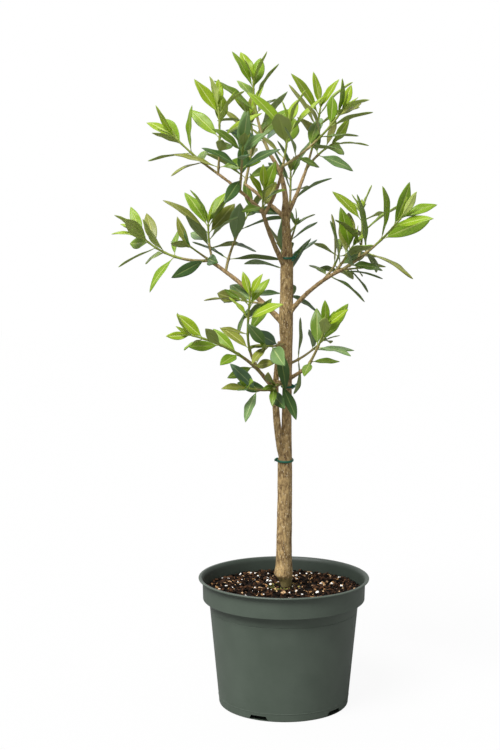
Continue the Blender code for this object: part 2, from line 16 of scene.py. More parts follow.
import bmesh
import bpy
import numpy as np
from mathutils import Euler, Matrix, Vector, noise
from mathutils.bvhtree import BVHTree

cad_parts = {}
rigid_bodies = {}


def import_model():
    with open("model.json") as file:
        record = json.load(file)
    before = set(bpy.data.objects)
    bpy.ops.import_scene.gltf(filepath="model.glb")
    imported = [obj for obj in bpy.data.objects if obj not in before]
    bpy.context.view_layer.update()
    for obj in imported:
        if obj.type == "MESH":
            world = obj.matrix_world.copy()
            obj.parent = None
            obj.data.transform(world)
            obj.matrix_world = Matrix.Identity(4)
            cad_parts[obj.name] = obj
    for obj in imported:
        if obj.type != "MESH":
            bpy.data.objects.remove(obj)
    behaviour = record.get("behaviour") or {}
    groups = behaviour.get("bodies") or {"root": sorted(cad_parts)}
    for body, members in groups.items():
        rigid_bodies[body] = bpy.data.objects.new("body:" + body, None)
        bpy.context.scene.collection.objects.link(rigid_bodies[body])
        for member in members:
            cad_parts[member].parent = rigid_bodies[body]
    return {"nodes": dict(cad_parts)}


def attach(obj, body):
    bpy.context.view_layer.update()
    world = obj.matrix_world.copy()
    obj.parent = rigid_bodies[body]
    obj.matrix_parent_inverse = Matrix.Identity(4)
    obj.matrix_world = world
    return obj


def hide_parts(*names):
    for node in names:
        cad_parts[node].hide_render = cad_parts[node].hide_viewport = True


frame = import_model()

log = logging.getLogger("olive")

MM = 0.001
UP = Vector((0.0, 0.0, 1.0))
RIGHT = Vector((1.0, 0.0, 0.0))


# --- Small helpers ---------------------------------------------------------------------------


def linear(hex_colour: str) -> tuple[float, float, float, float]:
    """Turn an sRGB hex value into a linear colour with full opacity.

    Args:
        hex_colour: Colour such as "#5E7A2C".

    Returns:
        Linear red, green, blue and 1.
    """
    channels = []
    for start in (1, 3, 5):
        value = int(hex_colour[start:start + 2], 16) / 255.0
        channels.append(value / 12.92 if value <= 0.04045 else ((value + 0.055) / 1.055) ** 2.4)
    return (*channels, 1.0)


def add_node(material: bpy.types.Material, kind: str, links: dict | None = None,
             **settings) -> bpy.types.Node:
    """Add one shader node with its settings and the links into it.

    Args:
        material: Material, or world, whose node tree takes the node.
        kind: Blender's name of the node type.
        links: Input name or index to the output socket that feeds it.
        **settings: Node attributes, or input names with underscores for spaces, and their values.

    Returns:
        The new node.
    """
    node = material.node_tree.nodes.new(kind)
    for name, value in settings.items():
        if hasattr(node, name):
            setattr(node, name, value)
        else:
            node.inputs[name.replace("_", " ")].default_value = value
    for name, socket in (links or {}).items():
        material.node_tree.links.new(socket, node.inputs[name])
    return node


def new_finish(name: str, **settings) -> tuple[bpy.types.Material, bpy.types.Node]:
    """Make a material with values set directly on its shader.

    Args:
        name: Material name.
        **settings: Shader inputs, with underscores for spaces, and their values.

    Returns:
        The material and its shader.
    """
    material = bpy.data.materials.new(name)
    material.use_nodes = True
    shader = material.node_tree.nodes["Principled BSDF"]
    for key, value in settings.items():
        shader.inputs[key.replace("_", " ")].default_value = value
    return material, shader


def add_noise(material: bpy.types.Material, vector: bpy.types.NodeSocket, size_mm: float,
              detail: float, **settings) -> bpy.types.Node:
    """Add a noise pattern whose scale is given as a size.

    Args:
        material: Material that takes the node.
        vector: Place that the pattern reads.
        size_mm: Width of one patch in millimetres.
        detail: How many finer layers it has.
        **settings: Further node settings.

    Returns:
        The noise node.
    """
    return add_node(material, "ShaderNodeTexNoise", {"Vector": vector},
                    Scale=1.0 / (size_mm * MM), Detail=detail, **settings)


def add_bump(material: bpy.types.Material, shader: bpy.types.Node, height: bpy.types.Node,
             strength: float, depth_mm: float) -> None:
    """Raise a noise pattern as bump on the shader.

    Args:
        material: Material that takes the node.
        shader: Shader that the bump feeds.
        height: Noise node.
        strength: Share of the bump that shows.
        depth_mm: Height of the pattern in millimetres.
    """
    bump = add_node(material, "ShaderNodeBump", {"Height": height.outputs["Fac"]},
                    Strength=strength, Distance=depth_mm * MM)
    material.node_tree.links.new(bump.outputs["Normal"], shader.inputs["Normal"])


def add_ramp(material: bpy.types.Material, factor: bpy.types.Node,
             stops: tuple[tuple[float, str], ...]) -> bpy.types.Node:
    """Turn a noise pattern into two colours.

    Args:
        material: Material that takes the node.
        factor: Noise node.
        stops: Place and sRGB colour of both ends.

    Returns:
        The ramp node.
    """
    ramp = add_node(material, "ShaderNodeValToRGB", {"Fac": factor.outputs["Fac"]})
    for element, (place, colour) in zip(ramp.color_ramp.elements, stops):
        element.position = place
        element.color = linear(colour)
    return ramp


def direction(heading: float, rise: float) -> Vector:
    """Unit vector for a heading and a rise.

    Args:
        heading: Degrees from +X towards +Y.
        rise: Degrees above level.

    Returns:
        The unit vector.
    """
    turn = math.radians(heading)
    climb = math.radians(rise)
    level = math.cos(climb)
    return Vector((math.cos(turn) * level, math.sin(turn) * level, math.sin(climb)))


def along(points: list[Vector], share: float) -> Vector:
    """Point at a share of the way through a list of evenly spaced points.

    Args:
        points: Points in order.
        share: 0 at the first point, 1 at the last.

    Returns:
        The point between its two neighbours.
    """
    place = min(max(share, 0.0), 1.0) * (len(points) - 1)
    index = min(int(place), len(points) - 2)
    return points[index].lerp(points[index + 1], place - index)


def across(aim: Vector, near: Vector) -> Vector:
    """Unit vector at right angles to one direction, as close to another as it can be.

    Args:
        aim: Direction to stay square to.
        near: Direction to stay close to.

    Returns:
        The unit vector.
    """
    side = near - aim * near.dot(aim)
    if side.length < 1e-6:
        side = aim.orthogonal()
    return side.normalized()


# --- Finishes --------------------------------------------------------------------------------


@dataclass(frozen=True)
class LeafFinish:
    """Leathery olive leaf: a smooth waxy skin over fine veins, paler and duller underneath."""

    name: str
    colour: str
    roughness: float
    vein_mm: float = 0.9

    def material(self) -> bpy.types.Material:
        """Make the material: one plain colour, with its fine skin in the bump.

        Returns:
            The leaf material.
        """
        skin, shader = new_finish(
            self.name, Base_Color=linear(self.colour), Roughness=self.roughness, IOR=1.45,
            Specular_IOR_Level=0.35, Subsurface_Weight=0.2, Subsurface_Radius=(0.9, 1.0, 0.5),
            Subsurface_Scale=0.6 * MM)
        place = add_node(skin, "ShaderNodeTexCoord")
        veins = add_noise(skin, place.outputs["Object"], self.vein_mm, 3.0)
        add_bump(skin, shader, veins, 0.25, 0.12)
        return skin


@dataclass(frozen=True)
class BarkFinish:
    """Thin living bark: mottled in two tones, flecked with pale corky pores."""

    name: str
    dark: str
    light: str
    pore: str
    mottle_mm: float
    pore_mm: float
    roughness: float = 0.82
    foot: str = ""
    foot_height: float = 0.1525

    def material(self) -> bpy.types.Material:
        """Make the material: a streaked mottle, pale pores and a fine rough bump.

        Returns:
            The bark material.
        """
        bark, shader = new_finish(self.name, Roughness=self.roughness)
        place = add_node(bark, "ShaderNodeTexCoord")
        stretch = add_node(bark, "ShaderNodeMapping", {"Vector": place.outputs["Object"]},
                           Scale=(1.0, 1.0, 0.4))
        mottle = add_noise(bark, stretch.outputs["Vector"], self.mottle_mm, 6.0, Roughness=0.75)
        tones = add_ramp(bark, mottle, ((0.38, self.dark), (0.60, self.light)))
        flecks = add_node(bark, "ShaderNodeTexVoronoi", {"Vector": stretch.outputs["Vector"]},
                          Scale=1.0 / (self.pore_mm * MM), Randomness=1.0)
        fleck_edge = add_node(bark, "ShaderNodeMapRange", {"Value": flecks.outputs["Distance"]},
                              From_Min=0.16, From_Max=0.26, To_Min=0.75, To_Max=0.0)
        mix = add_node(bark, "ShaderNodeMix", {0: fleck_edge.outputs["Result"], 6: tones.outputs["Color"]},
                       data_type="RGBA")
        mix.inputs[7].default_value = linear(self.pore)
        skin = mix.outputs[2]
        if self.foot:
            level = add_node(bark, "ShaderNodeSeparateXYZ", {"Vector": place.outputs["Object"]})
            damp = add_node(bark, "ShaderNodeMapRange", {"Value": level.outputs["Z"]},
                            From_Min=self.foot_height - 3.0 * MM, From_Max=self.foot_height + 1.5 * MM,
                            To_Min=0.85, To_Max=0.0)
            mossy = add_node(bark, "ShaderNodeMix", {0: damp.outputs["Result"], 6: skin}, data_type="RGBA")
            mossy.inputs[7].default_value = linear(self.foot)
            skin = mossy.outputs[2]
        bark.node_tree.links.new(skin, shader.inputs["Base Color"])
        fine = add_noise(bark, stretch.outputs["Vector"], self.pore_mm * 0.35, 5.0)
        add_bump(bark, shader, fine, 0.7, 0.35)
        return bark


@dataclass(frozen=True)
class PotFinish:
    """Moulded polypropylene: even grey-green, a soft sheen and a faint pebbled skin."""

    name: str = "moulded_polypropylene"
    colour: str = "#4A554A"
    worn: str = "#525D52"
    roughness: float = 0.48
    pebble_mm: float = 0.7
    cloud_mm: float = 35.0

    def material(self) -> bpy.types.Material:
        """Make the material: a slight cloud in the colour and a pebbled bump.

        Returns:
            The pot material.
        """
        plastic, shader = new_finish(self.name, IOR=1.49)
        place = add_node(plastic, "ShaderNodeTexCoord")
        cloud = add_noise(plastic, place.outputs["Object"], self.cloud_mm, 4.0)
        tones = add_ramp(plastic, cloud, ((0.35, self.colour), (0.75, self.worn)))
        plastic.node_tree.links.new(tones.outputs["Color"], shader.inputs["Base Color"])
        rough = add_node(plastic, "ShaderNodeMapRange", {"Value": cloud.outputs["Fac"]},
                         To_Min=self.roughness - 0.05, To_Max=self.roughness + 0.08)
        plastic.node_tree.links.new(rough.outputs["Result"], shader.inputs["Roughness"])
        pebble = add_noise(plastic, place.outputs["Object"], self.pebble_mm, 2.0)
        add_bump(plastic, shader, pebble, 0.16, 0.1)
        return plastic


@dataclass(frozen=True)
class GrainFinish:
    """Loose grains, such as peat crumb, bark chip or perlite: matt, with a pitted face."""

    name: str
    colour: str
    roughness: float = 0.9
    pit_mm: float = 0.6
    specular: float = 0.12

    def material(self) -> bpy.types.Material:
        """Make the material: one colour dealt to whole grains, with pits in the bump.

        Returns:
            The grain material.
        """
        grain, shader = new_finish(self.name, Base_Color=linear(self.colour),
                                   Roughness=self.roughness, Specular_IOR_Level=self.specular)
        place = add_node(grain, "ShaderNodeTexCoord")
        pits = add_noise(grain, place.outputs["Object"], self.pit_mm, 4.0)
        add_bump(grain, shader, pits, 0.8, 0.4)
        return grain


@dataclass(frozen=True)
class StrapFinish:
    """Soft vinyl tie: deep green and half glossy, with faint lengthwise drawing lines."""

    name: str = "soft_vinyl"
    colour: str = "#1E6349"
    roughness: float = 0.36
    line_mm: float = 0.4

    def material(self) -> bpy.types.Material:
        """Make the material: one colour with fine lines in the bump.

        Returns:
            The tie material.
        """
        vinyl, shader = new_finish(self.name, Base_Color=linear(self.colour),
                                   Roughness=self.roughness, IOR=1.5)
        place = add_node(vinyl, "ShaderNodeTexCoord")
        lines = add_noise(vinyl, place.outputs["Object"], self.line_mm, 2.0)
        add_bump(vinyl, shader, lines, 0.3, 0.15)
        return vinyl


# Living bark: thin and dry on the trunk, smoother and browner on the boughs, tan on woody twigs
TRUNK_BARK = BarkFinish("trunk_bark", "#62492A", "#C4A671", "#EAD9B4", 2.8, 1.9, foot="#7E7446")
BOUGH_BARK = BarkFinish("bough_bark", "#6B5430", "#B6996A", "#D2BA8C", 2.2, 1.7, 0.74)
YOUNG_BARK = BarkFinish("twig_bark", "#7C6C3C", "#ADA066", "#BFB07C", 2.6, 1.4, 0.66)
# This season's growth: green, smooth and slightly waxy
GREEN_TWIG = LeafFinish("green_twig", "#8A9740", 0.5)
# The same plastic inside the rim, made darker as painted shade on the inner wall, where little light reaches
POT_INSIDE_WITH_PAINTED_SHADE = PotFinish("moulded_polypropylene_painted_shade_inside", "#343D35", "#3A443B", 0.5)
# Fine peat that fills the gaps between the grains, near black: partly the peat's own dark colour, partly
# painted shade in the gaps
PEAT_AND_PAINTED_GAP_SHADE = GrainFinish("fine_peat_painted_gap_shade", "#0E0906", 0.95, 0.5)
# Leaf tones from tender to dark, the darker ones also dealt out as painted shade to shaded sprays: upper
# side, underside and midrib
LEAF_TONES = (
    ("lime", "#8FA824", "#B2C168", "#BECA74"),
    ("bright", "#86A322", "#A9B864", "#B2C268"),
    ("spring", "#7C9B24", "#A0AE5C", "#A8B860"),
    ("fresh", "#729222", "#98A658", "#9EAE58"),
    ("khaki", "#838A38", "#A0A25C", "#ABAD66"),
    ("leaf", "#68832A", "#909E52", "#98A758"),
    ("grey_green", "#718E54", "#9BAB74", "#A3B377"),
    ("deep", "#58742E", "#839455", "#8C9E5A"),
    ("blue_green", "#587554", "#849A69", "#8DA373"),
    ("dark", "#456230", "#6F834A", "#788C4C"),
)
STALK_COLOUR = "#A3B05E"


# --- Growth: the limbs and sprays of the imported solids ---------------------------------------

# Leaves: opening from the twig in degrees and share of full size, oldest pair and youngest
LEAF_OPEN_OLD = 60.0
LEAF_OPEN_YOUNG = 24.0
LEAF_OLD_SIZE = 0.90
LEAF_YOUNG_SIZE = 0.72
LEAF_CROWDING = 1.3
# Share of a twig's length either side of a leaf over which its direction is taken
AIM_STEP = 0.05
# Leaves: how far the seed turns, opens, twists, lengthens, widens and curls each one
LEAF_TURN_SPREAD = 22.0
LEAF_OPEN_SPREAD = 12.0
LEAF_TWIST_SPREAD = 40.0
LEAF_SIZE_RANGE = (0.86, 1.14)
LEAF_WIDTH_RANGE = (0.26, 0.34)
LEAF_CURL_RANGE = (2.0, 30.0)
# Leaves: half width of the stalk, fold along the midrib, and the light they face
LEAF_STALK = 0.0007
LEAF_FOLD = 0.18
LEAF_LIGHT = Vector((0.0, -0.78, 0.62))
LEAF_LIGHT_PULL = 1.1
# Share of the blade's length and share of its half width at each section of a leaf
LEAF_SECTIONS = ((0.38, 0.92), (0.72, 0.84))
# Turns round the stem, in degrees, that a leaf tries where it would touch something
LEAF_RETRIES = (0.0, 18.0, -18.0, 36.0, -36.0)


@dataclass(frozen=True)
class Limb:
    """A tapering arc. Angles in degrees: heading from +X towards +Y, rise above level."""

    name: str
    parent: str
    place: float
    length: float
    heading: float
    rise: float
    veer: float
    lift: float
    foot: float
    tip: float

    def points(self, start: Vector, steps: int = 8) -> list[Vector]:
        """Points along the arc, whose heading and rise change evenly with length.

        Args:
            start: Where the limb leaves its parent.
            steps: Number of straight steps.

        Returns:
            The start and the end of every step.
        """
        points = [start.copy()]
        for step in range(steps):
            share = (step + 0.5) / steps
            aim = direction(self.heading + self.veer * share, self.rise + self.lift * share)
            points.append(points[-1] + aim * (self.length / steps))
        return points


@dataclass(frozen=True)
class Leaf:
    """One leaf: its place on the twig, its turn round it, and its sizes. Age runs 1 to 0."""

    root: Vector
    aim: Vector
    side: Vector
    turn: float
    opening: float
    twist: float
    length: float
    width: float
    curl: float
    sag: float
    age: float

    def frame(self) -> tuple[Vector, Vector, Vector]:
        """Directions at the stalk: along the leaf, across it and out of its upper side.

        Returns:
            The three unit vectors.
        """
        out = Matrix.Rotation(math.radians(self.turn), 3, self.aim) @ self.side
        opening = math.radians(self.opening)
        axis = self.aim * math.cos(opening) + out * math.sin(opening)
        axis = (axis - UP * self.sag).normalized()
        inner = self.aim * math.sin(opening) - out * math.cos(opening)
        face = across(axis, inner + LEAF_LIGHT * LEAF_LIGHT_PULL)
        face = Matrix.Rotation(math.radians(self.twist), 3, axis) @ face
        return axis, axis.cross(face), face

    def centre(self, share: float) -> Vector:
        """Point on the midrib.

        Args:
            share: 0 at the stalk, 1 at the tip.

        Returns:
            The point.
        """
        axis, _, face = self.frame()
        bend = math.radians(self.curl)
        ahead = math.sin(bend * share) / bend
        down = (1.0 - math.cos(bend * share)) / bend
        return self.root + (axis * ahead - face * down) * self.length


@dataclass(frozen=True)
class Spray(Limb):
    """A leafy twig: opposite pairs of leaves, each pair turned a right angle from the last."""

    pairs: int
    leaf: float
    first: float
    roll: float
    seed: int
    sag: float

    def leaves(self, points: list[Vector]) -> list[Leaf]:
        """Leaves, oldest first, in opposite pairs that close up towards the tip.

        Args:
            points: Points along the twig.

        Returns:
            Two leaves for each pair.
        """
        dice = random.Random(self.seed)
        leaves = []
        for pair in range(self.pairs):
            age = 1.0 - pair / max(self.pairs - 1, 1)
            place = self.first + (1.0 - self.first) * (1.0 - age ** LEAF_CROWDING)
            aim = (along(points, place + AIM_STEP) - along(points, place - AIM_STEP)).normalized()
            for half in range(2):
                turn = self.roll + 90.0 * pair + 180.0 * half
                opening = LEAF_OPEN_YOUNG + (LEAF_OPEN_OLD - LEAF_OPEN_YOUNG) * age
                leaves.append(Leaf(
                    root=along(points, place),
                    aim=aim,
                    side=across(aim, RIGHT),
                    turn=turn + dice.uniform(-LEAF_TURN_SPREAD, LEAF_TURN_SPREAD),
                    opening=opening + dice.uniform(-LEAF_OPEN_SPREAD, LEAF_OPEN_SPREAD),
                    twist=dice.uniform(-LEAF_TWIST_SPREAD, LEAF_TWIST_SPREAD),
                    length=self.leaf * leaf_size(age) * dice.uniform(*LEAF_SIZE_RANGE),
                    width=dice.uniform(*LEAF_WIDTH_RANGE),
                    curl=dice.uniform(*LEAF_CURL_RANGE),
                    sag=self.sag * age,
                    age=age,
                ))
        return leaves


# Trunk: height, offset along X and radius, from the flat cut at the soil to the fork
TRUNK = (
    (0.1390, 0.0022, 0.0060),
    (0.1470, 0.0020, 0.0080),
    (0.1540, -0.0006, 0.0114),
    (0.1590, -0.0005, 0.0111),
    (0.1650, -0.0001, 0.0102),
    (0.1720, 0.0001, 0.0097),
    (0.1960, 0.0004, 0.0092),
    (0.2440, 0.0010, 0.0085),
    (0.2900, 0.0010, 0.0084),
    (0.3030, 0.0021, 0.0072),
    (0.3160, 0.0026, 0.0063),
    (0.3520, 0.0030, 0.0058),
    (0.3870, 0.0035, 0.0058),
    (0.4220, 0.0030, 0.0063),
    (0.4410, 0.0021, 0.0077),
    (0.4600, 0.0019, 0.0080),
    (0.4810, 0.0023, 0.0076),
    (0.5250, 0.0027, 0.0073),
    (0.5390, 0.0032, 0.0062),
    (0.5620, 0.0020, 0.0051),
    (0.5830, 0.0006, 0.0044),
)
# Boughs: parent, height up the trunk or share of the parent's length, length, heading, rise,
# veer, lift, foot radius and tip radius. Lengths go in steps of 5 mm and angles of 5 degrees
BOUGHS = (
    Limb("second_stem", "trunk", 0.290, 0.145, -145, 70, 20, 35, 0.0050, 0.0027),
    Limb("low_left_bough", "second_stem", 0.60, 0.030, -140, 45, 0, 0, 0.0028, 0.0023),
    Limb("low_right_bough", "second_stem", 0.65, 0.055, -35, 20, -10, 15, 0.0028, 0.0019),
    Limb("mid_left_bough", "trunk", 0.450, 0.125, 160, 45, -5, -15, 0.0034, 0.0022),
    Limb("high_left_bough", "trunk", 0.515, 0.080, -140, 55, 20, 5, 0.0031, 0.0023),
    Limb("high_left_limb", "high_left_bough", 1.0, 0.070, 180, 45, -5, -10, 0.0022, 0.0016),
    Limb("high_cross_bough", "high_left_bough", 0.95, 0.065, -35, 50, -40, 10, 0.0020, 0.0017),
    Limb("crown_left_bough", "trunk", 0.575, 0.090, 125, 30, 5, -5, 0.0026, 0.0019),
    Limb("leader", "trunk", 0.583, 0.070, 130, 95, 25, -45, 0.0034, 0.0022),
    Limb("crown_right_bough", "trunk", 0.575, 0.075, 55, 50, 5, 5, 0.0026, 0.0019),
    Limb("mid_right_bough", "trunk", 0.460, 0.090, -20, 55, 5, -30, 0.0030, 0.0020),
)
# Sprays: as a bough, then pairs of leaves, longest leaf, share where the leaves begin, roll of
# the first pair round the twig, the seed that varies the leaves, counted up the list, and how
# far the oldest ones sag
SPRAYS = (
    Spray("low_left_spray", "low_left_bough", 1.0, 0.105, -130, 40, -35, -25, 0.0021, 0.0011,
          pairs=5, leaf=0.045, first=0.15, roll=0, seed=1, sag=0.2),
    Spray("low_upright_spray", "low_left_bough", 0.95, 0.100, -155, 50, 110, 35, 0.0018, 0.0010,
          pairs=6, leaf=0.045, first=0.15, roll=45, seed=2, sag=0.2),
    Spray("low_hanging_spray", "second_stem", 0.62, 0.050, -125, -5, -5, 20, 0.0018, 0.0011,
          pairs=3, leaf=0.050, first=0.25, roll=0, seed=3, sag=0.2),
    Spray("low_right_spray", "low_right_bough", 1.0, 0.055, -40, 55, -20, 5, 0.0018, 0.0010,
          pairs=4, leaf=0.045, first=0.10, roll=45, seed=4, sag=0.4),
    Spray("low_back_spray", "trunk", 0.405, 0.070, 50, 10, 0, 20, 0.0018, 0.0010,
          pairs=3, leaf=0.055, first=0.30, roll=90, seed=5, sag=0.2),
    Spray("mid_left_spray", "mid_left_bough", 1.0, 0.095, 180, -5, -20, 50, 0.0020, 0.0010,
          pairs=6, leaf=0.055, first=0.45, roll=0, seed=6, sag=0.0),
    Spray("mid_left_low_spray", "mid_left_bough", 0.90, 0.045, -140, 30, 0, 0, 0.0016, 0.0010,
          pairs=2, leaf=0.060, first=0.40, roll=0, seed=7, sag=0.6),
    Spray("mid_left_upright_spray", "mid_left_bough", 0.95, 0.050, 130, 60, -35, 20, 0.0016, 0.0010,
          pairs=5, leaf=0.065, first=0.40, roll=45, seed=8, sag=0.0),
    Spray("mid_left_back_spray", "mid_left_bough", 0.80, 0.095, 80, 50, -35, 0, 0.0018, 0.0010,
          pairs=5, leaf=0.065, first=0.20, roll=0, seed=9, sag=0.2),
    Spray("high_left_spray", "high_left_limb", 1.0, 0.060, 175, 35, -5, 10, 0.0015, 0.0010,
          pairs=4, leaf=0.055, first=0.30, roll=45, seed=10, sag=0.2),
    Spray("high_upright_spray", "high_left_limb", 0.95, 0.075, -75, 70, 10, 35, 0.0014, 0.0010,
          pairs=6, leaf=0.055, first=0.10, roll=0, seed=11, sag=0.2),
    Spray("high_cross_spray", "high_cross_bough", 1.0, 0.090, -5, 30, -5, 25, 0.0016, 0.0010,
          pairs=6, leaf=0.050, first=0.20, roll=45, seed=12, sag=0.0),
    Spray("high_middle_spray", "high_cross_bough", 0.90, 0.050, 30, 75, 0, 10, 0.0014, 0.0009,
          pairs=4, leaf=0.065, first=0.30, roll=0, seed=13, sag=0.0),
    Spray("high_young_spray", "high_left_bough", 0.95, 0.030, -105, 65, 35, -10, 0.0013, 0.0009,
          pairs=4, leaf=0.040, first=0.30, roll=45, seed=14, sag=0.0),
    Spray("crown_left_spray", "crown_left_bough", 1.0, 0.085, 80, 55, -75, 50, 0.0018, 0.0010,
          pairs=5, leaf=0.060, first=0.10, roll=0, seed=15, sag=0.0),
    Spray("leader_spray", "leader", 1.0, 0.090, 145, 60, 20, 30, 0.0021, 0.0010,
          pairs=6, leaf=0.060, first=0.20, roll=45, seed=16, sag=0.0),
    Spray("crown_right_spray", "crown_right_bough", 1.0, 0.045, 35, 50, -10, -20, 0.0018, 0.0010,
          pairs=3, leaf=0.055, first=0.50, roll=0, seed=17, sag=0.0),
    Spray("mid_right_spray", "mid_right_bough", 1.0, 0.090, -25, 30, 5, 20, 0.0019, 0.0010,
          pairs=5, leaf=0.065, first=0.10, roll=45, seed=18, sag=0.0),
    Spray("mid_right_inner_spray", "mid_right_bough", 0.65, 0.065, 45, 30, 35, 10, 0.0016, 0.0010,
          pairs=4, leaf=0.060, first=0.25, roll=0, seed=19, sag=0.2),
    Spray("mid_right_upright_spray", "mid_right_spray", 0.25, 0.065, 70, 50, 25, 5, 0.0015, 0.0010,
          pairs=4, leaf=0.065, first=0.30, roll=45, seed=20, sag=0.2),
    Spray("mid_right_low_spray", "mid_right_bough", 0.85, 0.065, 65, 10, -5, -10, 0.0016, 0.0010,
          pairs=3, leaf=0.055, first=0.40, roll=0, seed=21, sag=0.2),
    Spray("trunk_spray", "trunk", 0.540, 0.035, 65, 45, 0, 10, 0.0016, 0.0010,
          pairs=2, leaf=0.050, first=0.40, roll=90, seed=22, sag=0.4),
    Spray("back_low_spray", "trunk", 0.470, 0.095, 90, 35, 10, 20, 0.0020, 0.0010,
          pairs=5, leaf=0.065, first=0.30, roll=0, seed=23, sag=0.4),
    Spray("back_high_spray", "trunk", 0.555, 0.090, 80, 45, 10, 25, 0.0020, 0.0010,
          pairs=5, leaf=0.055, first=0.35, roll=45, seed=24, sag=0.2),
    Spray("high_left_low_spray", "high_left_limb", 0.50, 0.075, -85, 35, 0, 5, 0.0015, 0.0010,
          pairs=5, leaf=0.055, first=0.30, roll=90, seed=25, sag=0.0),
    Spray("crown_right_young_spray", "crown_right_bough", 0.95, 0.075, -30, 70, 0, 10, 0.0015, 0.0010,
          pairs=4, leaf=0.060, first=0.50, roll=45, seed=26, sag=0.0),
    Spray("mid_inner_spray", "trunk", 0.475, 0.055, 165, 0, 0, 10, 0.0016, 0.0010,
          pairs=3, leaf=0.060, first=0.35, roll=45, seed=27, sag=0.6),
    Spray("mid_right_front_spray", "mid_right_bough", 0.85, 0.040, -5, 50, 0, 10, 0.0016, 0.0010,
          pairs=4, leaf=0.065, first=0.35, roll=45, seed=28, sag=0.0),
    Spray("low_inner_spray", "trunk", 0.430, 0.045, -120, -5, 0, 10, 0.0016, 0.0010,
          pairs=3, leaf=0.060, first=0.40, roll=90, seed=29, sag=0.6),
    Spray("low_front_spray", "trunk", 0.385, 0.040, -110, 0, 0, 0, 0.0016, 0.0010,
          pairs=2, leaf=0.055, first=0.50, roll=0, seed=30, sag=0.4),
)


def leaf_size(age: float) -> float:
    """Share of the spray's longest leaf: full in the middle, shorter at both ends.

    Args:
        age: 1 for the oldest pair, 0 for the youngest.

    Returns:
        The share.
    """
    end_size = LEAF_YOUNG_SIZE + (LEAF_OLD_SIZE - LEAF_YOUNG_SIZE) * age
    return end_size + (1.0 - end_size) * (1.0 - abs(2.0 * age - 1.0))


@dataclass
class Skeleton:
    """Paths of every limb and spray, each starting on its parent."""

    paths: dict[str, list[Vector]] = field(default_factory=dict)

    def __post_init__(self) -> None:
        """Work out every path."""
        for limb in BOUGHS + SPRAYS:
            if limb.parent == "trunk":
                start = self.trunk_point(limb.place)
            else:
                start = along(self.paths[limb.parent], limb.place)
            self.paths[limb.name] = limb.points(start)

    def trunk_point(self, height: float) -> Vector:
        """Point on the trunk's axis.

        Args:
            height: Height above the floor.

        Returns:
            The point.
        """
        offset = np.interp(height, [row[0] for row in TRUNK], [row[1] for row in TRUNK])
        return Vector((float(offset), 0.0, height))

    def trunk_radius(self, height: float) -> float:
        """Radius of the trunk at a height.

        Args:
            height: Height above the floor.

        Returns:
            The radius.
        """
        return float(np.interp(height, [row[0] for row in TRUNK], [row[2] for row in TRUNK]))


# --- Meshes ----------------------------------------------------------------------------------


def new_piece(name: str, vertices: list, faces: list, slots: list[bpy.types.Material],
              indices: list[int] | None = None) -> bpy.types.Object:
    """Make a smooth-shaded mesh object.

    Args:
        name: Object name.
        vertices: Vertex positions.
        faces: Vertex indices of each face.
        slots: Materials, in slot order.
        indices: Slot of each face; all 0 where left out.

    Returns:
        The object, linked to the scene.
    """
    data = bpy.data.meshes.new(name)
    data.from_pydata(vertices, [], faces)
    for material in slots:
        data.materials.append(material)
    if indices is not None:
        data.polygons.foreach_set("material_index", indices)
    data.shade_smooth()
    data.validate()
    piece = bpy.data.objects.new(name, data)
    bpy.context.scene.collection.objects.link(piece)
    return piece


def face_outward(mesh: bpy.types.Mesh) -> None:
    """Turn every face of a closed mesh outwards.

    Args:
        mesh: Mesh to mend.
    """
    shell = bmesh.new()
    shell.from_mesh(mesh)
    bmesh.ops.recalc_face_normals(shell, faces=shell.faces)
    shell.to_mesh(mesh)
    shell.free()


def tube_rings(points: list[Vector], radii: list[float], sides: int) -> tuple[list[Vector], list[tuple]]:
    """Closed tube through points.

    Args:
        points: Centres of the rings.
        radii: Radius of each ring.
        sides: Vertices in a ring.

    Returns:
        Vertices and faces.
    """
    vertices = []
    near = RIGHT
    last = len(points) - 1
    for index, (point, radius) in enumerate(zip(points, radii)):
        aim = (points[min(index + 1, last)] - points[max(index - 1, 0)]).normalized()
        near = across(aim, near)
        other = aim.cross(near)
        for side in range(sides):
            turn = 2.0 * math.pi * side / sides
            vertices.append(point + (near * math.cos(turn) + other * math.sin(turn)) * radius)
    return vertices, ring_faces(last + 1, sides)


def join_mesh(vertices: list, faces: list, more: list[Vector], bands: list[tuple]) -> None:
    """Add one mesh to the vertices and faces so far.

    Args:
        vertices: Vertices so far, added to.
        faces: Faces so far, added to.
        more: Vertices to add.
        bands: Faces to add, numbered from 0.
    """
    first = len(vertices)
    faces.extend(tuple(first + corner for corner in band) for band in bands)
    vertices.extend(more)


def ring_faces(rings: int, sides: int) -> list[tuple]:
    """Faces of a closed tube whose vertices run ring by ring.

    Args:
        rings: Number of rings.
        sides: Vertices in a ring.

    Returns:
        Bands of quads, then both ends.
    """
    faces = []
    for ring in range(rings - 1):
        for side in range(sides):
            after = (side + 1) % sides
            low, high = ring * sides, (ring + 1) * sides
            faces.append((low + side, low + after, high + after, high + side))
    faces.append(tuple(range(sides))[::-1])
    faces.append(tuple((rings - 1) * sides + side for side in range(sides)))
    return faces


def lathe_rings(profile: list[tuple[float, float]], sides: int) -> tuple[list[Vector], list[tuple]]:
    """Closed solid turned about Z.

    Args:
        profile: Radius and height of each ring, from a point on the axis to another.
        sides: Vertices in a ring.

    Returns:
        Vertices and faces.
    """
    vertices = [Vector((0.0, 0.0, profile[0][1])), Vector((0.0, 0.0, profile[-1][1]))]
    rings = len(profile) - 2
    for radius, height in profile[1:-1]:
        for side in range(sides):
            turn = 2.0 * math.pi * side / sides
            vertices.append(Vector((radius * math.cos(turn), radius * math.sin(turn), height)))
    faces = []
    for side in range(sides):
        after = (side + 1) % sides
        faces.append((0, 2 + after, 2 + side))
        top = 2 + (rings - 1) * sides
        faces.append((1, top + side, top + after))
        for ring in range(rings - 1):
            low = 2 + ring * sides
            high = low + sides
            faces.append((low + side, low + after, high + after, high + side))
    return vertices, faces


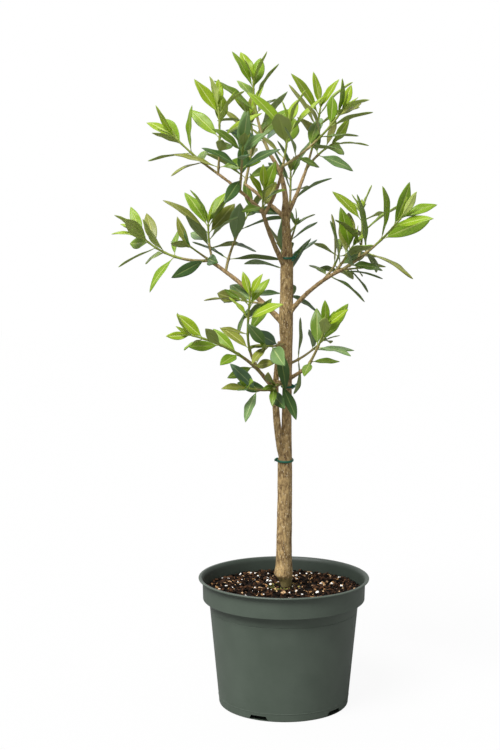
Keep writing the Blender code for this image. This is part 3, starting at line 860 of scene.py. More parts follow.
def smoothed(points: list[Vector], count: int) -> list[Vector]:
    """Evenly spaced points on a smooth curve through the given ones.

    Args:
        points: Points that the curve passes through.
        count: Number of points to return.

    Returns:
        The points, ends included.
    """
    ends = [points[0] * 2.0 - points[1], *points, points[-1] * 2.0 - points[-2]]
    curve = []
    for index in range(count):
        place = index / (count - 1) * (len(points) - 1)
        start = min(int(place), len(points) - 2)
        t = place - start
        a, b, c, d = ends[start:start + 4]
        curve.append(0.5 * ((b * 2.0) + (c - a) * t + (a * 2.0 - b * 5.0 + c * 4.0 - d) * t * t
                            + (b * 3.0 - a - c * 3.0 + d) * t ** 3))
    return curve


def apply_modifiers(piece: bpy.types.Object) -> None:
    """Keep the shape that a piece's modifiers give and remove them.

    Args:
        piece: Object to settle.
    """
    graph = bpy.context.evaluated_depsgraph_get()
    shape = bpy.data.meshes.new_from_object(piece.evaluated_get(graph))
    piece.modifiers.clear()
    piece.data = shape


# --- Sub-assemblies --------------------------------------------------------------------------


@dataclass
class Bark:
    """Trunk, second stem and boughs grown together in one skin with the bark's relief."""

    skeleton: Skeleton
    trunk_sides: int = 40
    bough_sides: int = 20
    ring_gap: float = 0.002
    voxel: float = 0.0008
    collar: float = 0.35
    ridge: float = 0.00028
    ridge_width: float = 0.0035
    pore: float = 0.00030
    pore_gap: float = 0.0032
    flare_height: float = 0.035
    old_stem_reach: float = 0.011
    old_stem_top: float = 0.40

    def build(self) -> bpy.types.Object:
        """Fuse the limbs, raise the relief and dress the skin.

        Returns:
            The bark piece.
        """
        vertices, faces = self.trunk_tube()
        for limb in BOUGHS:
            join_mesh(vertices, faces, *self.bough_tube(limb))
        bark = new_piece("bark", vertices, faces, [TRUNK_BARK.material(), BOUGH_BARK.material()])
        remesh = bark.modifiers.new("fuse", "REMESH")
        remesh.mode = "VOXEL"
        remesh.voxel_size = self.voxel
        smooth = bark.modifiers.new("soften", "SMOOTH")
        smooth.iterations = 2
        smooth.factor = 0.5
        apply_modifiers(bark)
        self.raise_relief(bark.data)
        self.deal_slots(bark.data)
        return bark

    def trunk_tube(self) -> tuple[list[Vector], list[tuple]]:
        """Trunk as level rings, its foot lightly lobed where the roots spread.

        Returns:
            Vertices and faces.
        """
        low, high = TRUNK[0][0], TRUNK[-1][0]
        count = int((high - low) / self.ring_gap)
        vertices = []
        for index in range(count + 1):
            height = low + (high - low) * index / count
            centre = self.skeleton.trunk_point(height)
            radius = self.skeleton.trunk_radius(height)
            flare = max(0.0, 1.0 - (height - low) / self.flare_height)
            for side in range(self.trunk_sides):
                turn = 2.0 * math.pi * side / self.trunk_sides
                lobe = 1.0 + 0.07 * flare * math.sin(3.0 * turn + 0.7)
                lobe += 0.03 * math.sin(2.0 * turn + height * 30.0)
                vertices.append(centre + Vector((math.cos(turn), math.sin(turn), 0.0)) * radius * lobe)
        return vertices, ring_faces(count + 1, self.trunk_sides)

    def bough_tube(self, limb: Limb) -> tuple[list[Vector], list[tuple]]:
        """One bough, swollen into a collar where it leaves its parent.

        Args:
            limb: The bough.

        Returns:
            Vertices and faces.
        """
        path = self.skeleton.paths[limb.name]
        count = max(6, int(limb.length / self.ring_gap))
        points = smoothed(path, count)
        radii = []
        for index in range(count):
            share = index / (count - 1)
            radius = limb.foot + (limb.tip - limb.foot) * share
            spread = self.collar * math.exp(-share * limb.length / (2.2 * limb.foot + 0.004))
            radii.append(radius * (1.0 + spread))
        return tube_rings(points, radii, self.bough_sides)

    def raise_relief(self, mesh: bpy.types.Mesh) -> None:
        """Push the skin out and in: long shallow ridges and small corky pores.

        Args:
            mesh: The fused skin.
        """
        count = len(mesh.vertices)
        places = np.empty(count * 3)
        mesh.vertices.foreach_get("co", places)
        normals = np.empty(count * 3)
        mesh.vertices.foreach_get("normal", normals)
        places = places.reshape(-1, 3)
        heights = np.array([self.relief(Vector(place)) for place in places])
        places += normals.reshape(-1, 3) * heights[:, None]
        mesh.vertices.foreach_set("co", places.ravel())
        mesh.update()

    def relief(self, place: Vector) -> float:
        """Height of the bark's relief at a place.

        Args:
            place: Point on the skin.

        Returns:
            Height above the smooth skin.
        """
        long_place = Vector((place.x, place.y, place.z * 0.22)) / self.ridge_width
        height = noise.noise(long_place) * self.ridge
        height += noise.noise(place / (self.ridge_width * 0.35)) * self.ridge * 0.35
        cell = Vector((place.x, place.y, place.z * 1.6)) / self.pore_gap
        near = noise.voronoi(cell)[0][0]
        return height + self.pore * max(0.0, 0.30 - near) / 0.30

    def deal_slots(self, mesh: bpy.types.Mesh) -> None:
        """Give the trunk's faces the trunk's bark and the rest the boughs' younger bark.

        Args:
            mesh: The fused skin.
        """
        path = self.skeleton.paths["second_stem"]
        second = [point.lerp(after, 0.5) for point, after in zip(path, path[1:])]
        slots = []
        for face in mesh.polygons:
            place = face.center
            core = self.skeleton.trunk_point(place.z)
            from_core = math.hypot(place.x - core.x, place.y)
            from_second = min((place - middle).length for middle in second)
            on_trunk = from_core < self.skeleton.trunk_radius(place.z) * 1.3 and place.z < TRUNK[-1][0]
            on_second = from_second < self.old_stem_reach and place.z < self.old_stem_top
            slots.append(0 if on_trunk or on_second else 1)
        mesh.polygons.foreach_set("material_index", slots)
        mesh.shade_smooth()


# Places across a leaf, -1 and 1 at its edges, with the midrib in the middle
BLADE_COLUMNS = (-1.0, -0.82, -0.55, -0.28, -0.08, 0.0, 0.08, 0.28, 0.55, 0.82, 1.0)
# Twice the midrib's reach either side, in the same measure
RIB_REACH = 0.15


@dataclass
class Foliage:
    """Twigs and leaves of one spray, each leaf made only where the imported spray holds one."""

    spray: Spray
    points: list[Vector]
    palette: "Palette"
    twig_sides: int = 10
    ring_gap: float = 0.0022
    knuckle: float = 0.35
    reach_back: float = 0.0015
    blade_rows: int = 22
    stalk_share: float = 0.10
    blade_thickness: float = 0.00045
    vein_relief: float = 0.00022
    found_within: float = 0.0011
    knuckle_width: float = 0.0016
    tip_sizes: tuple[float, ...] = (0.44, 0.26)

    def build(self) -> list[bpy.types.Object]:
        """Make the twig and its leaves.

        Returns:
            The twig piece and the leaf piece.
        """
        leaves = self.held_leaves()
        return [self.twig(leaves), self.blades(leaves + self.tip_leaves())]

    def tip_leaves(self) -> list[Leaf]:
        """Small leaves that are still opening at the twig's end, where the pairs carry on.

        Returns:
            The leaves.
        """
        dice = random.Random(self.spray.seed + 500)
        aim = (self.points[-1] - self.points[-2]).normalized()
        leaves = []
        for pair, size in enumerate(self.tip_sizes, self.spray.pairs):
            for half in range(2):
                leaves.append(Leaf(
                    root=self.points[-1] - aim * 0.0006,
                    aim=aim,
                    side=across(aim, RIGHT),
                    turn=self.spray.roll + 90.0 * pair + 180.0 * half + dice.uniform(-15.0, 15.0),
                    opening=dice.uniform(9.0, 22.0),
                    twist=dice.uniform(-20.0, 20.0),
                    length=self.spray.leaf * size * dice.uniform(0.85, 1.15),
                    width=dice.uniform(0.20, 0.26),
                    curl=dice.uniform(4.0, 22.0),
                    sag=0.0,
                    age=0.0,
                ))
        return leaves

    def held_leaves(self) -> list[Leaf]:
        """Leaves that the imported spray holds, turned as they are there.

        Returns:
            The leaves.
        """
        mesh = frame["nodes"][self.spray.name].data
        solid = BVHTree.FromPolygons([vertex.co for vertex in mesh.vertices],
                                     [tuple(face.vertices) for face in mesh.polygons])
        held = []
        for leaf in self.spray.leaves(self.points):
            for extra in LEAF_RETRIES:
                turned = replace(leaf, turn=leaf.turn + extra)
                gaps = [solid.find_nearest(turned.centre(share))[3] for share, _ in LEAF_SECTIONS]
                gaps.append(solid.find_nearest(turned.centre(1.0))[3])
                if max(gaps) < self.found_within:
                    held.append(turned)
                    break
        return held

    def twig(self, leaves: list[Leaf]) -> bpy.types.Object:
        """Tapering twig with a knuckle under each pair of leaves and a bud in each axil.

        Args:
            leaves: Leaves that the twig bears.

        Returns:
            The twig piece.
        """
        count = max(8, int(self.spray.length / self.ring_gap))
        points = smoothed(self.points, count)
        points[0] = points[0] - (points[1] - points[0]).normalized() * self.reach_back
        knuckles = {round((leaf.root - self.points[0]).length, 5) for leaf in leaves}
        radii = []
        for index, point in enumerate(points):
            share = index / (count - 1)
            radius = self.spray.foot + (self.spray.tip - self.spray.foot) * share
            away = (point - self.points[0]).length
            swell = sum(math.exp(-((away - knuckle) / self.knuckle_width) ** 2) for knuckle in knuckles)
            radii.append(radius * (1.0 + self.knuckle * min(swell, 1.0)))
        vertices, faces = tube_rings(points, radii, self.twig_sides)
        bands = len(faces) - 2
        old = int(bands * self.palette.woody_share(self.spray))
        slots = [0 if index < old else 1 for index in range(bands)] + [0, 1]
        for leaf in leaves:
            self.add_bud(leaf, vertices, faces, slots)
        return new_piece(self.spray.name + "_twig", vertices, faces, self.palette.twig_slots(), slots)

    def add_bud(self, leaf: Leaf, vertices: list, faces: list, slots: list) -> None:
        """Small pointed bud between a leaf's stalk and the twig.

        Args:
            leaf: Leaf whose axil holds the bud.
            vertices: Vertices so far, added to.
            faces: Faces so far, added to.
            slots: Slot of each face so far, added to.
        """
        axis, _, _ = leaf.frame()
        aim = (leaf.aim + axis * 0.45).normalized()
        size = 0.0016 + 0.0010 * (1.0 - leaf.age)
        foot = leaf.root + aim * self.spray.tip
        rings = [foot + aim * size * share for share in (0.0, 0.45, 1.1, 1.7)]
        more, bands = tube_rings(rings, [size * share for share in (0.30, 0.42, 0.28, 0.03)], 6)
        join_mesh(vertices, faces, more, bands)
        slots.extend([1] * len(bands))

    def blades(self, leaves: list[Leaf]) -> bpy.types.Object:
        """All the leaves of the spray as closed blades on their stalks.

        Args:
            leaves: Leaves to make.

        Returns:
            The leaf piece.
        """
        dice = random.Random(self.spray.seed * 7 + 3)
        vertices, faces, slots = [], [], []
        for leaf in leaves:
            tone = self.palette.tone(self.spray, leaf, dice)
            self.add_blade(leaf, tone, dice, vertices, faces, slots)
        return new_piece(self.spray.name + "_leaves", vertices, faces, self.palette.leaf_slots(), slots)

    def add_blade(self, leaf: Leaf, tone: int, dice: random.Random,
                  vertices: list, faces: list, slots: list) -> None:
        """One leaf: grooved midrib, faint side veins, wavy edge and a bent tip.

        Args:
            leaf: The leaf.
            tone: Slot of its upper side.
            dice: Seeded random numbers.
            vertices: Vertices so far, added to.
            faces: Faces so far, added to.
            slots: Slot of each face so far, added to.
        """
        axis, edge, face = leaf.frame()
        bend = math.radians(leaf.curl)
        wave = dice.uniform(0.0, 2.0 * math.pi)
        waves = dice.uniform(1.5, 3.0)
        wave_height = dice.uniform(0.010, 0.035)
        tip_hook = dice.uniform(-0.02, 0.05)
        half_width = leaf.length * leaf.width * 0.5
        first = len(vertices)
        rows = self.blade_rows
        columns = len(BLADE_COLUMNS)
        for row in range(rows + 1):
            share = row / rows
            wide = blade_width(share, self.stalk_share)
            half = max(half_width * wide, LEAF_STALK * 0.75 * (1.0 - share))
            out = face * math.cos(bend * share) + axis * math.sin(bend * share)
            centre = leaf.centre(share) - out * (tip_hook * leaf.length * max(0.0, share - 0.75) ** 2 * 8.0)
            blade = min(1.0, max(0.0, (share - self.stalk_share) / 0.12)) * (1.0 - share) ** 0.25
            for column in BLADE_COLUMNS:
                rise = half * LEAF_FOLD * abs(column) ** 1.3 * wide
                ripple = math.sin(wave + waves * 6.28 * share + column)
                rise += half * wave_height * 3.0 * ripple * column * column
                rise += self.vein_relief * blade * side_vein(share, abs(column))
                if column == 0.0:
                    rise -= self.vein_relief * 1.6 * blade
                spot = centre + edge * (half * column) + out * rise
                body = self.body_thickness(blade, half, column)
                vertices.append(spot + out * body)
                vertices.append(spot - out * body - out * self.keel(blade, column))
        for row in range(rows):
            for column in range(columns - 1):
                low = first + (row * columns + column) * 2
                high = low + columns * 2
                faces.append((low, low + 2, high + 2, high))
                faces.append((low + 1, high + 1, high + 3, low + 3))
                middle = BLADE_COLUMNS[column] + BLADE_COLUMNS[column + 1]
                stalk = row / rows < self.stalk_share
                rib = abs(middle) < RIB_REACH
                slots.append(self.palette.slot(tone, rib, stalk))
                slots.append(self.palette.slot(tone, rib, stalk, under=True))
            for column in (0, columns - 1):
                low = first + (row * columns + column) * 2
                high = low + columns * 2
                rim = (low, high, high + 1, low + 1) if column == 0 else (low, low + 1, high + 1, high)
                faces.append(rim)
                slots.append(self.palette.slot(tone, stalk=row / rows < self.stalk_share))
        for row in (0, rows):
            for column in range(columns - 1):
                low = first + (row * columns + column) * 2
                end = (low, low + 1, low + 3, low + 2)
                faces.append(end if row == 0 else end[::-1])
                slots.append(self.palette.slot(tone, stalk=row == 0))

    def body_thickness(self, blade: float, half: float, column: float) -> float:
        """Half the thickness at a place: a round stalk that flattens into the blade.

        Args:
            blade: 0 on the stalk, 1 on the blade.
            half: Half width of the leaf here.
            column: Place across the leaf, -1 to 1.

        Returns:
            Half the thickness.
        """
        round_stalk = half * math.sqrt(max(0.0, 1.0 - column * column)) * (1.0 - min(1.0, blade * 1.2))
        flat = self.blade_thickness * 0.5 * (1.0 - 0.75 * abs(column))
        return max(round_stalk, flat) + 0.00003

    def keel(self, blade: float, column: float) -> float:
        """Extra depth of the midrib under the leaf.

        Args:
            blade: 0 on the stalk, 1 on the blade.
            column: Place across the leaf, -1 to 1.

        Returns:
            The depth.
        """
        return 0.0004 * blade * max(0.0, 1.0 - abs(column) * 7.0)


def blade_width(share: float, stalk_share: float) -> float:
    """Half width of a lance-shaped leaf as a share of its greatest.

    Args:
        share: 0 at the foot of the stalk, 1 at the tip.
        stalk_share: Where the stalk ends.

    Returns:
        The share of the greatest half width.
    """
    if share <= stalk_share:
        return 0.0
    place = (share - stalk_share) / (1.0 - stalk_share)
    return max(0.0, math.sin(math.pi * place ** 0.95) ** (1.12 - 0.30 * place) * (1.03 - 0.08 * place))


def side_vein(share: float, out: float) -> float:
    """Height of the side veins, which slant from the midrib towards the tip.

    Args:
        share: Place along the leaf.
        out: Place across it, 0 at the midrib and 1 at the edge.

    Returns:
        Height from -1 to 1.
    """
    return 0.55 * math.sin(2.0 * math.pi * (share * 11.0 - out * 1.6)) * out * (1.0 - out)


class Mood(Enum):
    """How young a spray is and how much light falls on it, painted into its leaves' tones: tender sprays
    lighter, partly as painted light, shaded ones darker as painted shade.
    """

    TENDER_AND_PAINTED_LIGHT = "tender"
    FRESH = "fresh"
    SHADED = "shaded"


# Sprays that differ from the usual fresh green: young sprays lightened, partly as painted light, and sprays
# deep in or behind the crown darkened as painted shade
MOODS = {
    **dict.fromkeys((
        "low_left_spray", "low_upright_spray", "mid_left_spray", "high_left_spray",
        "high_upright_spray", "high_middle_spray", "high_young_spray", "crown_right_young_spray",
        "mid_right_upright_spray"), Mood.TENDER_AND_PAINTED_LIGHT),
    **dict.fromkeys((
        "low_hanging_spray", "low_back_spray", "low_front_spray", "low_inner_spray",
        "mid_left_low_spray", "mid_left_back_spray", "mid_inner_spray", "mid_right_low_spray",
        "high_left_low_spray", "trunk_spray", "back_low_spray", "back_high_spray"), Mood.SHADED),
}


@dataclass
class Palette:
    """Leaf and twig finishes, dealt out leaf by leaf as plain colours."""

    uppers: list[bpy.types.Material] = field(default_factory=list)
    unders: list[bpy.types.Material] = field(default_factory=list)
    ribs: list[bpy.types.Material] = field(default_factory=list)
    stalk: bpy.types.Material | None = None
    twigs: list[bpy.types.Material] = field(default_factory=list)

    def __post_init__(self) -> None:
        """Make every finish once."""
        for name, upper, under, rib in LEAF_TONES:
            self.uppers.append(LeafFinish(f"waxy_leaf_{name}", upper, 0.38).material())
            self.unders.append(LeafFinish(f"downy_underside_{name}", under, 0.62).material())
            self.ribs.append(LeafFinish(f"pale_midrib_{name}", rib, 0.45).material())
        self.stalk = LeafFinish("leaf_stalk", STALK_COLOUR, 0.5).material()
        self.twigs = [YOUNG_BARK.material(), GREEN_TWIG.material()]

    def leaf_slots(self) -> list[bpy.types.Material]:
        """Materials of a leaf piece, in slot order."""
        return [*self.uppers, *self.unders, *self.ribs, self.stalk]

    def twig_slots(self) -> list[bpy.types.Material]:
        """Materials of a twig piece: woody foot, green end."""
        return self.twigs

    def slot(self, tone: int, rib: bool = False, stalk: bool = False, under: bool = False) -> int:
        """Slot of one face of a leaf.

        Args:
            tone: Number of the leaf's tone.
            rib: Whether the face lies on the midrib.
            stalk: Whether it lies on the stalk.
            under: Whether it is on the underside.

        Returns:
            The slot.
        """
        tones = len(LEAF_TONES)
        if stalk:
            return 3 * tones
        if rib:
            return 2 * tones + tone
        return tones + tone if under else tone

    def woody_share(self, spray: Spray) -> float:
        """Share of the twig that has turned woody."""
        return {Mood.TENDER_AND_PAINTED_LIGHT: 0.35, Mood.FRESH: 0.55, Mood.SHADED: 0.75}[MOODS.get(spray.name, Mood.FRESH)]

    def tone(self, spray: Spray, leaf: Leaf, dice: random.Random) -> int:
        """Tone of one leaf: lighter on young leaves and lit sprays, darker on old and shaded ones.

        Args:
            spray: Spray that bears the leaf.
            leaf: The leaf.
            dice: Seeded random numbers.

        Returns:
            Number of the tone, 0 the lightest.
        """
        # Painted light and shade in the leaf colour: tender sprays lean lighter, shaded sprays lean darker
        lean = {Mood.TENDER_AND_PAINTED_LIGHT: -0.16, Mood.FRESH: 0.08, Mood.SHADED: 0.52}[MOODS.get(spray.name, Mood.FRESH)]
        place = leaf.age * 0.62 + lean + dice.uniform(-0.20, 0.20)
        last = len(LEAF_TONES) - 1
        return min(last, max(0, round(place * last)))


@dataclass
class Pot:
    """Nursery pot: a tapered body under a straight collar, with a rolled lip and notched foot."""

    height: float = 0.152
    lip_radius: float = 0.1015
    lip_depth: float = 0.002
    lip_roll: float = 0.001
    collar_radius: float = 0.097
    collar_foot: float = 0.126
    collar_edge: float = 0.0006
    collar_draft: float = 0.0008
    body_top_radius: float = 0.0890
    foot_radius: float = 0.0772
    foot_edge: float = 0.0014
    wall: float = 0.0015
    floor: float = 0.0025
    sides: int = 160
    line_below_collar: float = 0.0126
    line_depth: float = 0.0004
    ring_height: float = 0.0095
    ring_proud: float = 0.00022
    notch_count: int = 5
    notch_width: float = 0.021
    notch_height: float = 0.0058
    notch_web: float = 0.0004
    notch_depth: float = 0.014
    notch_start: float = -112.0

    def profile(self) -> list[tuple[float, float]]:
        """Section of the pot, up the outside, over the lip and down the inside.

        Returns:
            Radius and height of each ring, starting and ending on the axis.
        """
        inset = 3 * MM
        points = [(0.0, 0.0), (self.foot_radius * 0.5, 0.0), (self.foot_radius - inset, 0.0)]
        points += self.arc(self.foot_radius - self.foot_edge, self.foot_edge, self.foot_edge, -90.0, -4.0, 5)
        line = self.collar_foot - self.line_below_collar
        for height, proud in ((self.foot_edge + 0.6 * MM, 0.0), (self.foot_edge + 1.6 * MM, 0.0),
                              (self.ring_height - 0.9 * MM, 0.0), (self.ring_height - 0.35 * MM, 0.0),
                              (self.ring_height - 0.2 * MM, self.ring_proud),
                              (self.ring_height + 0.2 * MM, self.ring_proud),
                              (self.ring_height + 0.35 * MM, 0.0), (self.ring_height + 0.9 * MM, 0.0),
                              (0.035, 0.0), (0.060, 0.0), (0.085, 0.0), (line - 1.2 * MM, 0.0),
                              (line - 0.5 * MM, 0.0), (line - 0.2 * MM, -self.line_depth),
                              (line + 0.2 * MM, -self.line_depth), (line + 0.5 * MM, 0.0),
                              (line + 1.2 * MM, 0.0), (self.collar_foot - 1.5 * MM, 0.0),
                              (self.collar_foot, 0.0)):
            points.append((self.body_radius(height) + proud, height))
        edge = self.collar_radius - self.collar_draft - self.collar_edge
        points.append((edge - 1.5 * MM, self.collar_foot))
        points += self.arc(edge, self.collar_foot + self.collar_edge, self.collar_edge, -90.0, 0.0, 6)
        lip_foot = self.height - self.lip_depth
        points += [
            (self.collar_radius - 0.3 * MM, lip_foot - 5.0 * MM),
            (self.collar_radius, lip_foot - 0.8 * MM),
            (self.collar_radius + 0.5 * MM, lip_foot),
            (self.lip_radius - 1.6 * MM, lip_foot),
        ]
        roll = self.lip_roll
        points += self.arc(self.lip_radius - roll, lip_foot + roll, roll, -90.0, 90.0, 10)
        points += [
            (self.collar_radius + 1.3 * MM, self.height - 0.1 * MM),
            (self.collar_radius + 0.6 * MM, self.height - 0.6 * MM),
            (self.collar_radius, self.height - 1.5 * MM),
            (self.collar_radius - 0.8 * MM, self.height - 2.6 * MM),
            (self.collar_radius - self.wall + 0.1 * MM, self.height - 5.0 * MM),
            (self.collar_radius - self.collar_draft - self.wall, self.collar_foot + self.wall),
            (self.body_top_radius - self.wall, self.collar_foot + self.wall),
            (self.foot_radius - self.wall, self.floor),
            (self.foot_radius * 0.5, self.floor),
            (0.0, self.floor),
        ]
        return points

    def body_radius(self, height: float) -> float:
        """Radius of the tapered body at a height."""
        share = (height - self.foot_edge) / (self.collar_foot - self.foot_edge)
        return self.foot_radius + (self.body_top_radius - self.foot_radius) * share

    def arc(self, radius: float, height: float, bend: float, start: float, end: float,
            steps: int) -> list[tuple[float, float]]:
        """Points on a round edge.

        Args:
            radius: Radius at the arc's centre.
            height: Height of the arc's centre.
            bend: Radius of the arc itself.
            start: Degrees where it starts, 0 pointing outwards and 90 up.
            end: Degrees where it ends.
            steps: Number of steps.

        Returns:
            Radius and height of each point.
        """
        points = []
        for step in range(steps + 1):
            turn = math.radians(start + (end - start) * step / steps)
            points.append((radius + bend * math.cos(turn), height + bend * math.sin(turn)))
        return points

    def build(self) -> bpy.types.Object:
        """Turn the pot and cut its drainage notches.

        Returns:
            The pot piece.
        """
        vertices, faces = lathe_rings(self.profile(), self.sides)
        pot = new_piece("nursery_pot", vertices, faces, [PotFinish().material(), POT_INSIDE_WITH_PAINTED_SHADE.material()])
        cutter = self.notches()
        boolean = pot.modifiers.new("notches", "BOOLEAN")
        boolean.operation = "DIFFERENCE"
        boolean.solver = "EXACT"
        boolean.object = cutter
        apply_modifiers(pot)
        bpy.data.objects.remove(cutter, do_unlink=True)
        # Faces inside the rim above the collar take the darker plastic, which is painted shade on the inner
        # wall
        for face in pot.data.polygons:
            inward = face.normal.x * face.center.x + face.normal.y * face.center.y < 0.0
            if inward and face.center.z > self.collar_foot:
                face.material_index = 1
        pot.data.set_sharp_from_angle(angle=math.radians(24.0))
        return pot

    def notches(self) -> bpy.types.Object:
        """Blocks with slanted ends that stand where the drainage notches go.

        Returns:
            The cutter, as one object.
        """
        vertices, faces = [], []
        for index in range(self.notch_count):
            heading = math.radians(self.notch_start + index * 360.0 / self.notch_count)
            turn = Matrix.Rotation(heading, 3, "Z")
            first = len(vertices)
            for near in (self.foot_radius - self.notch_depth, self.foot_radius + self.notch_depth):
                for wide, high in ((0.56, self.notch_web), (0.44, self.notch_height),
                                   (-0.44, self.notch_height), (-0.56, self.notch_web)):
                    vertices.append(turn @ Vector((near, self.notch_width * wide, high)))
            faces.append(tuple(first + corner for corner in range(4)))
            faces.append(tuple(first + 4 + corner for corner in range(4))[::-1])
            for corner in range(4):
                after = (corner + 1) % 4
                faces.append((first + after, first + corner, first + 4 + corner, first + 4 + after))
        cutter = new_piece("notch_cutter", vertices, faces, [])
        face_outward(cutter.data)
        return cutter


def grain_shape(rings: int) -> tuple[np.ndarray, np.ndarray]:
    """Round ball that every loose grain is bent from.

    Args:
        rings: Times the ball's faces are divided.

    Returns:
        Vertices of a ball of radius 1, and its triangles.
    """
    ball = bmesh.new()
    bmesh.ops.create_icosphere(ball, subdivisions=rings, radius=1.0)
    vertices = np.array([vertex.co for vertex in ball.verts])
    faces = np.array([[vertex.index for vertex in face.verts] for face in ball.faces])
    ball.free()
    return vertices, faces


@dataclass(frozen=True)
class Grain:
    """One kind of loose grain: how many lie on the bed, how big and how flat they are."""

    name: str
    count: int
    size_mm: tuple[float, float]
    stretch: tuple[float, float, float]
    jag: float
    sunk: float
    rings: int
    finishes: tuple[GrainFinish, ...]
    reach: float = 1.0


# What lies on the peat: dark crumbs, chips of composted bark, and perlite
GRAINS = (
    Grain("peat_crumbs", 1800, (1.8, 5.6), (1.0, 0.78, 0.66), 0.32, 0.26, 1,
          (GrainFinish("black_peat", "#0B0705"), GrainFinish("dark_peat", "#1A110B"),
           GrainFinish("brown_peat", "#2E1F15"), GrainFinish("red_peat", "#48301F"))),
    Grain("bark_chips", 420, (2.5, 7.5), (1.0, 0.46, 0.30), 0.20, 0.26, 2,
          (GrainFinish("tan_bark_chip", "#9C774E"), GrainFinish("brown_bark_chip", "#5E432F"),
           GrainFinish("pale_bark_chip", "#C2A078"), GrainFinish("dark_bark_chip", "#33231A"))),
    Grain("perlite", 100, (2.4, 5.0), (1.0, 0.74, 0.60), 0.30, 0.22, 1,
          (GrainFinish("perlite", "#FAF8F2", 0.85, 0.4, 0.4),)),
    Grain("moss_crumbs", 110, (1.8, 4.4), (1.0, 0.8, 0.5), 0.30, 0.25, 1,
          (GrainFinish("moss", "#77763A"), GrainFinish("dry_moss", "#9A9150"),
           GrainFinish("wet_moss", "#3E4220")), 0.20),
)


@dataclass
class Soil:
    """Moist potting mix: a lumpy near-black peat bed, partly painted shade in the gaps, under crumbs, bark
    chips and white perlite.
    """

    radius: float = 0.0952
    rim_height: float = 0.1350
    mound_height: float = 0.1387
    flat_radius: float = 0.013
    trunk_clear: float = 0.0088
    bed_rings: int = 70
    bed_sides: int = 220
    lump: float = 0.0016
    lump_width: float = 0.009
    bed_depth: float = 0.0062
    grains: tuple[Grain, ...] = ()

    def height(self, x: float, y: float) -> float:
        """Height of the bed at a place: a low mound with lumps.

        Args:
            x: Place along X.
            y: Place along Y.

        Returns:
            The height.
        """
        away = math.hypot(x, y)
        half_way = self.radius * 0.55
        rise = self.mound_height - self.rim_height
        mound = float(np.interp(away, [self.flat_radius, half_way, self.radius], [rise, rise * 0.35, 0.0]))
        lumps = noise.noise(Vector((x, y, 0.3)) / self.lump_width) * self.lump
        lumps += noise.noise(Vector((x, y, 1.7)) / (self.lump_width * 0.3)) * self.lump * 0.45
        return self.rim_height + mound + lumps

    def build(self) -> list[bpy.types.Object]:
        """Make the bed and every kind of grain.

        Returns:
            The soil pieces.
        """
        return [self.bed(), *(self.scatter(grain, seed) for seed, grain in enumerate(self.grains, 11))]

    def bed(self) -> bpy.types.Object:
        """Shallow slab of near-black peat with a lumpy top, whose colour between the grains is partly
        painted shade.

        Returns:
            The bed piece.
        """
        underside = self.rim_height - self.bed_depth
        profile = [(0.0, underside), (self.radius - 0.002, underside)]
        for ring in range(self.bed_rings):
            profile.append((self.radius * (1.0 - ring / self.bed_rings), self.rim_height))
        profile.append((0.0, self.mound_height))
        vertices, faces = lathe_rings(profile, self.bed_sides)
        for vertex in vertices:
            if vertex.z > self.rim_height - self.bed_depth * 0.5:
                vertex.z = self.height(vertex.x, vertex.y)
        return new_piece("peat_bed_painted_gap_shade", vertices, faces, [PEAT_AND_PAINTED_GAP_SHADE.material()])

    def scatter(self, grain: Grain, seed: int) -> bpy.types.Object:
        """Lay one kind of grain over the bed, as one joined mesh.

        Args:
            grain: Kind of grain.
            seed: Seed of its places and shapes.

        Returns:
            The piece.
        """
        dice = np.random.default_rng(seed)
        ball, triangles = grain_shape(grain.rings)
        vertices, faces, slots = [], [], []
        for index in range(grain.count):
            size = dice.uniform(*grain.size_mm) * MM * 0.5
            furthest = (self.radius - size * 1.2) * grain.reach
            away = math.sqrt(dice.uniform(self.trunk_clear ** 2, furthest ** 2))
            turn = dice.uniform(0.0, 2.0 * math.pi)
            x, y = away * math.cos(turn), away * math.sin(turn)
            shape = ball * (1.0 + grain.jag * dice.uniform(-1.0, 1.0, (len(ball), 1)))
            shape = shape * np.array(grain.stretch) * size
            lean = Euler((dice.uniform(-0.5, 0.5), dice.uniform(-0.5, 0.5), dice.uniform(0.0, 6.28)))
            spin = np.array(lean.to_matrix())
            lift = size * grain.stretch[2] * (1.0 - 2.0 * grain.sunk) + dice.uniform(0.0, 0.0008)
            vertices.append(shape @ spin.T + np.array((x, y, self.height(x, y) + lift)))
            faces.append(triangles + index * len(ball))
            slots.extend([int(dice.integers(len(grain.finishes)))] * len(triangles))
        finishes = [finish.material() for finish in grain.finishes]
        piece = new_piece(grain.name, np.concatenate(vertices).tolist(), np.concatenate(faces).tolist(),
                          finishes, slots)
        piece.data.set_sharp_from_angle(angle=math.radians(35.0))
        return piece


# Ties: name, height, heading of the knot in degrees, and rise of its tails to their length
TIES = (
    ("lower_tie", 0.292, 172.0, 0.10),
    ("middle_tie", 0.380, -20.0, 0.15),
    ("upper_tie", 0.5305, -25.0, 0.35),
)


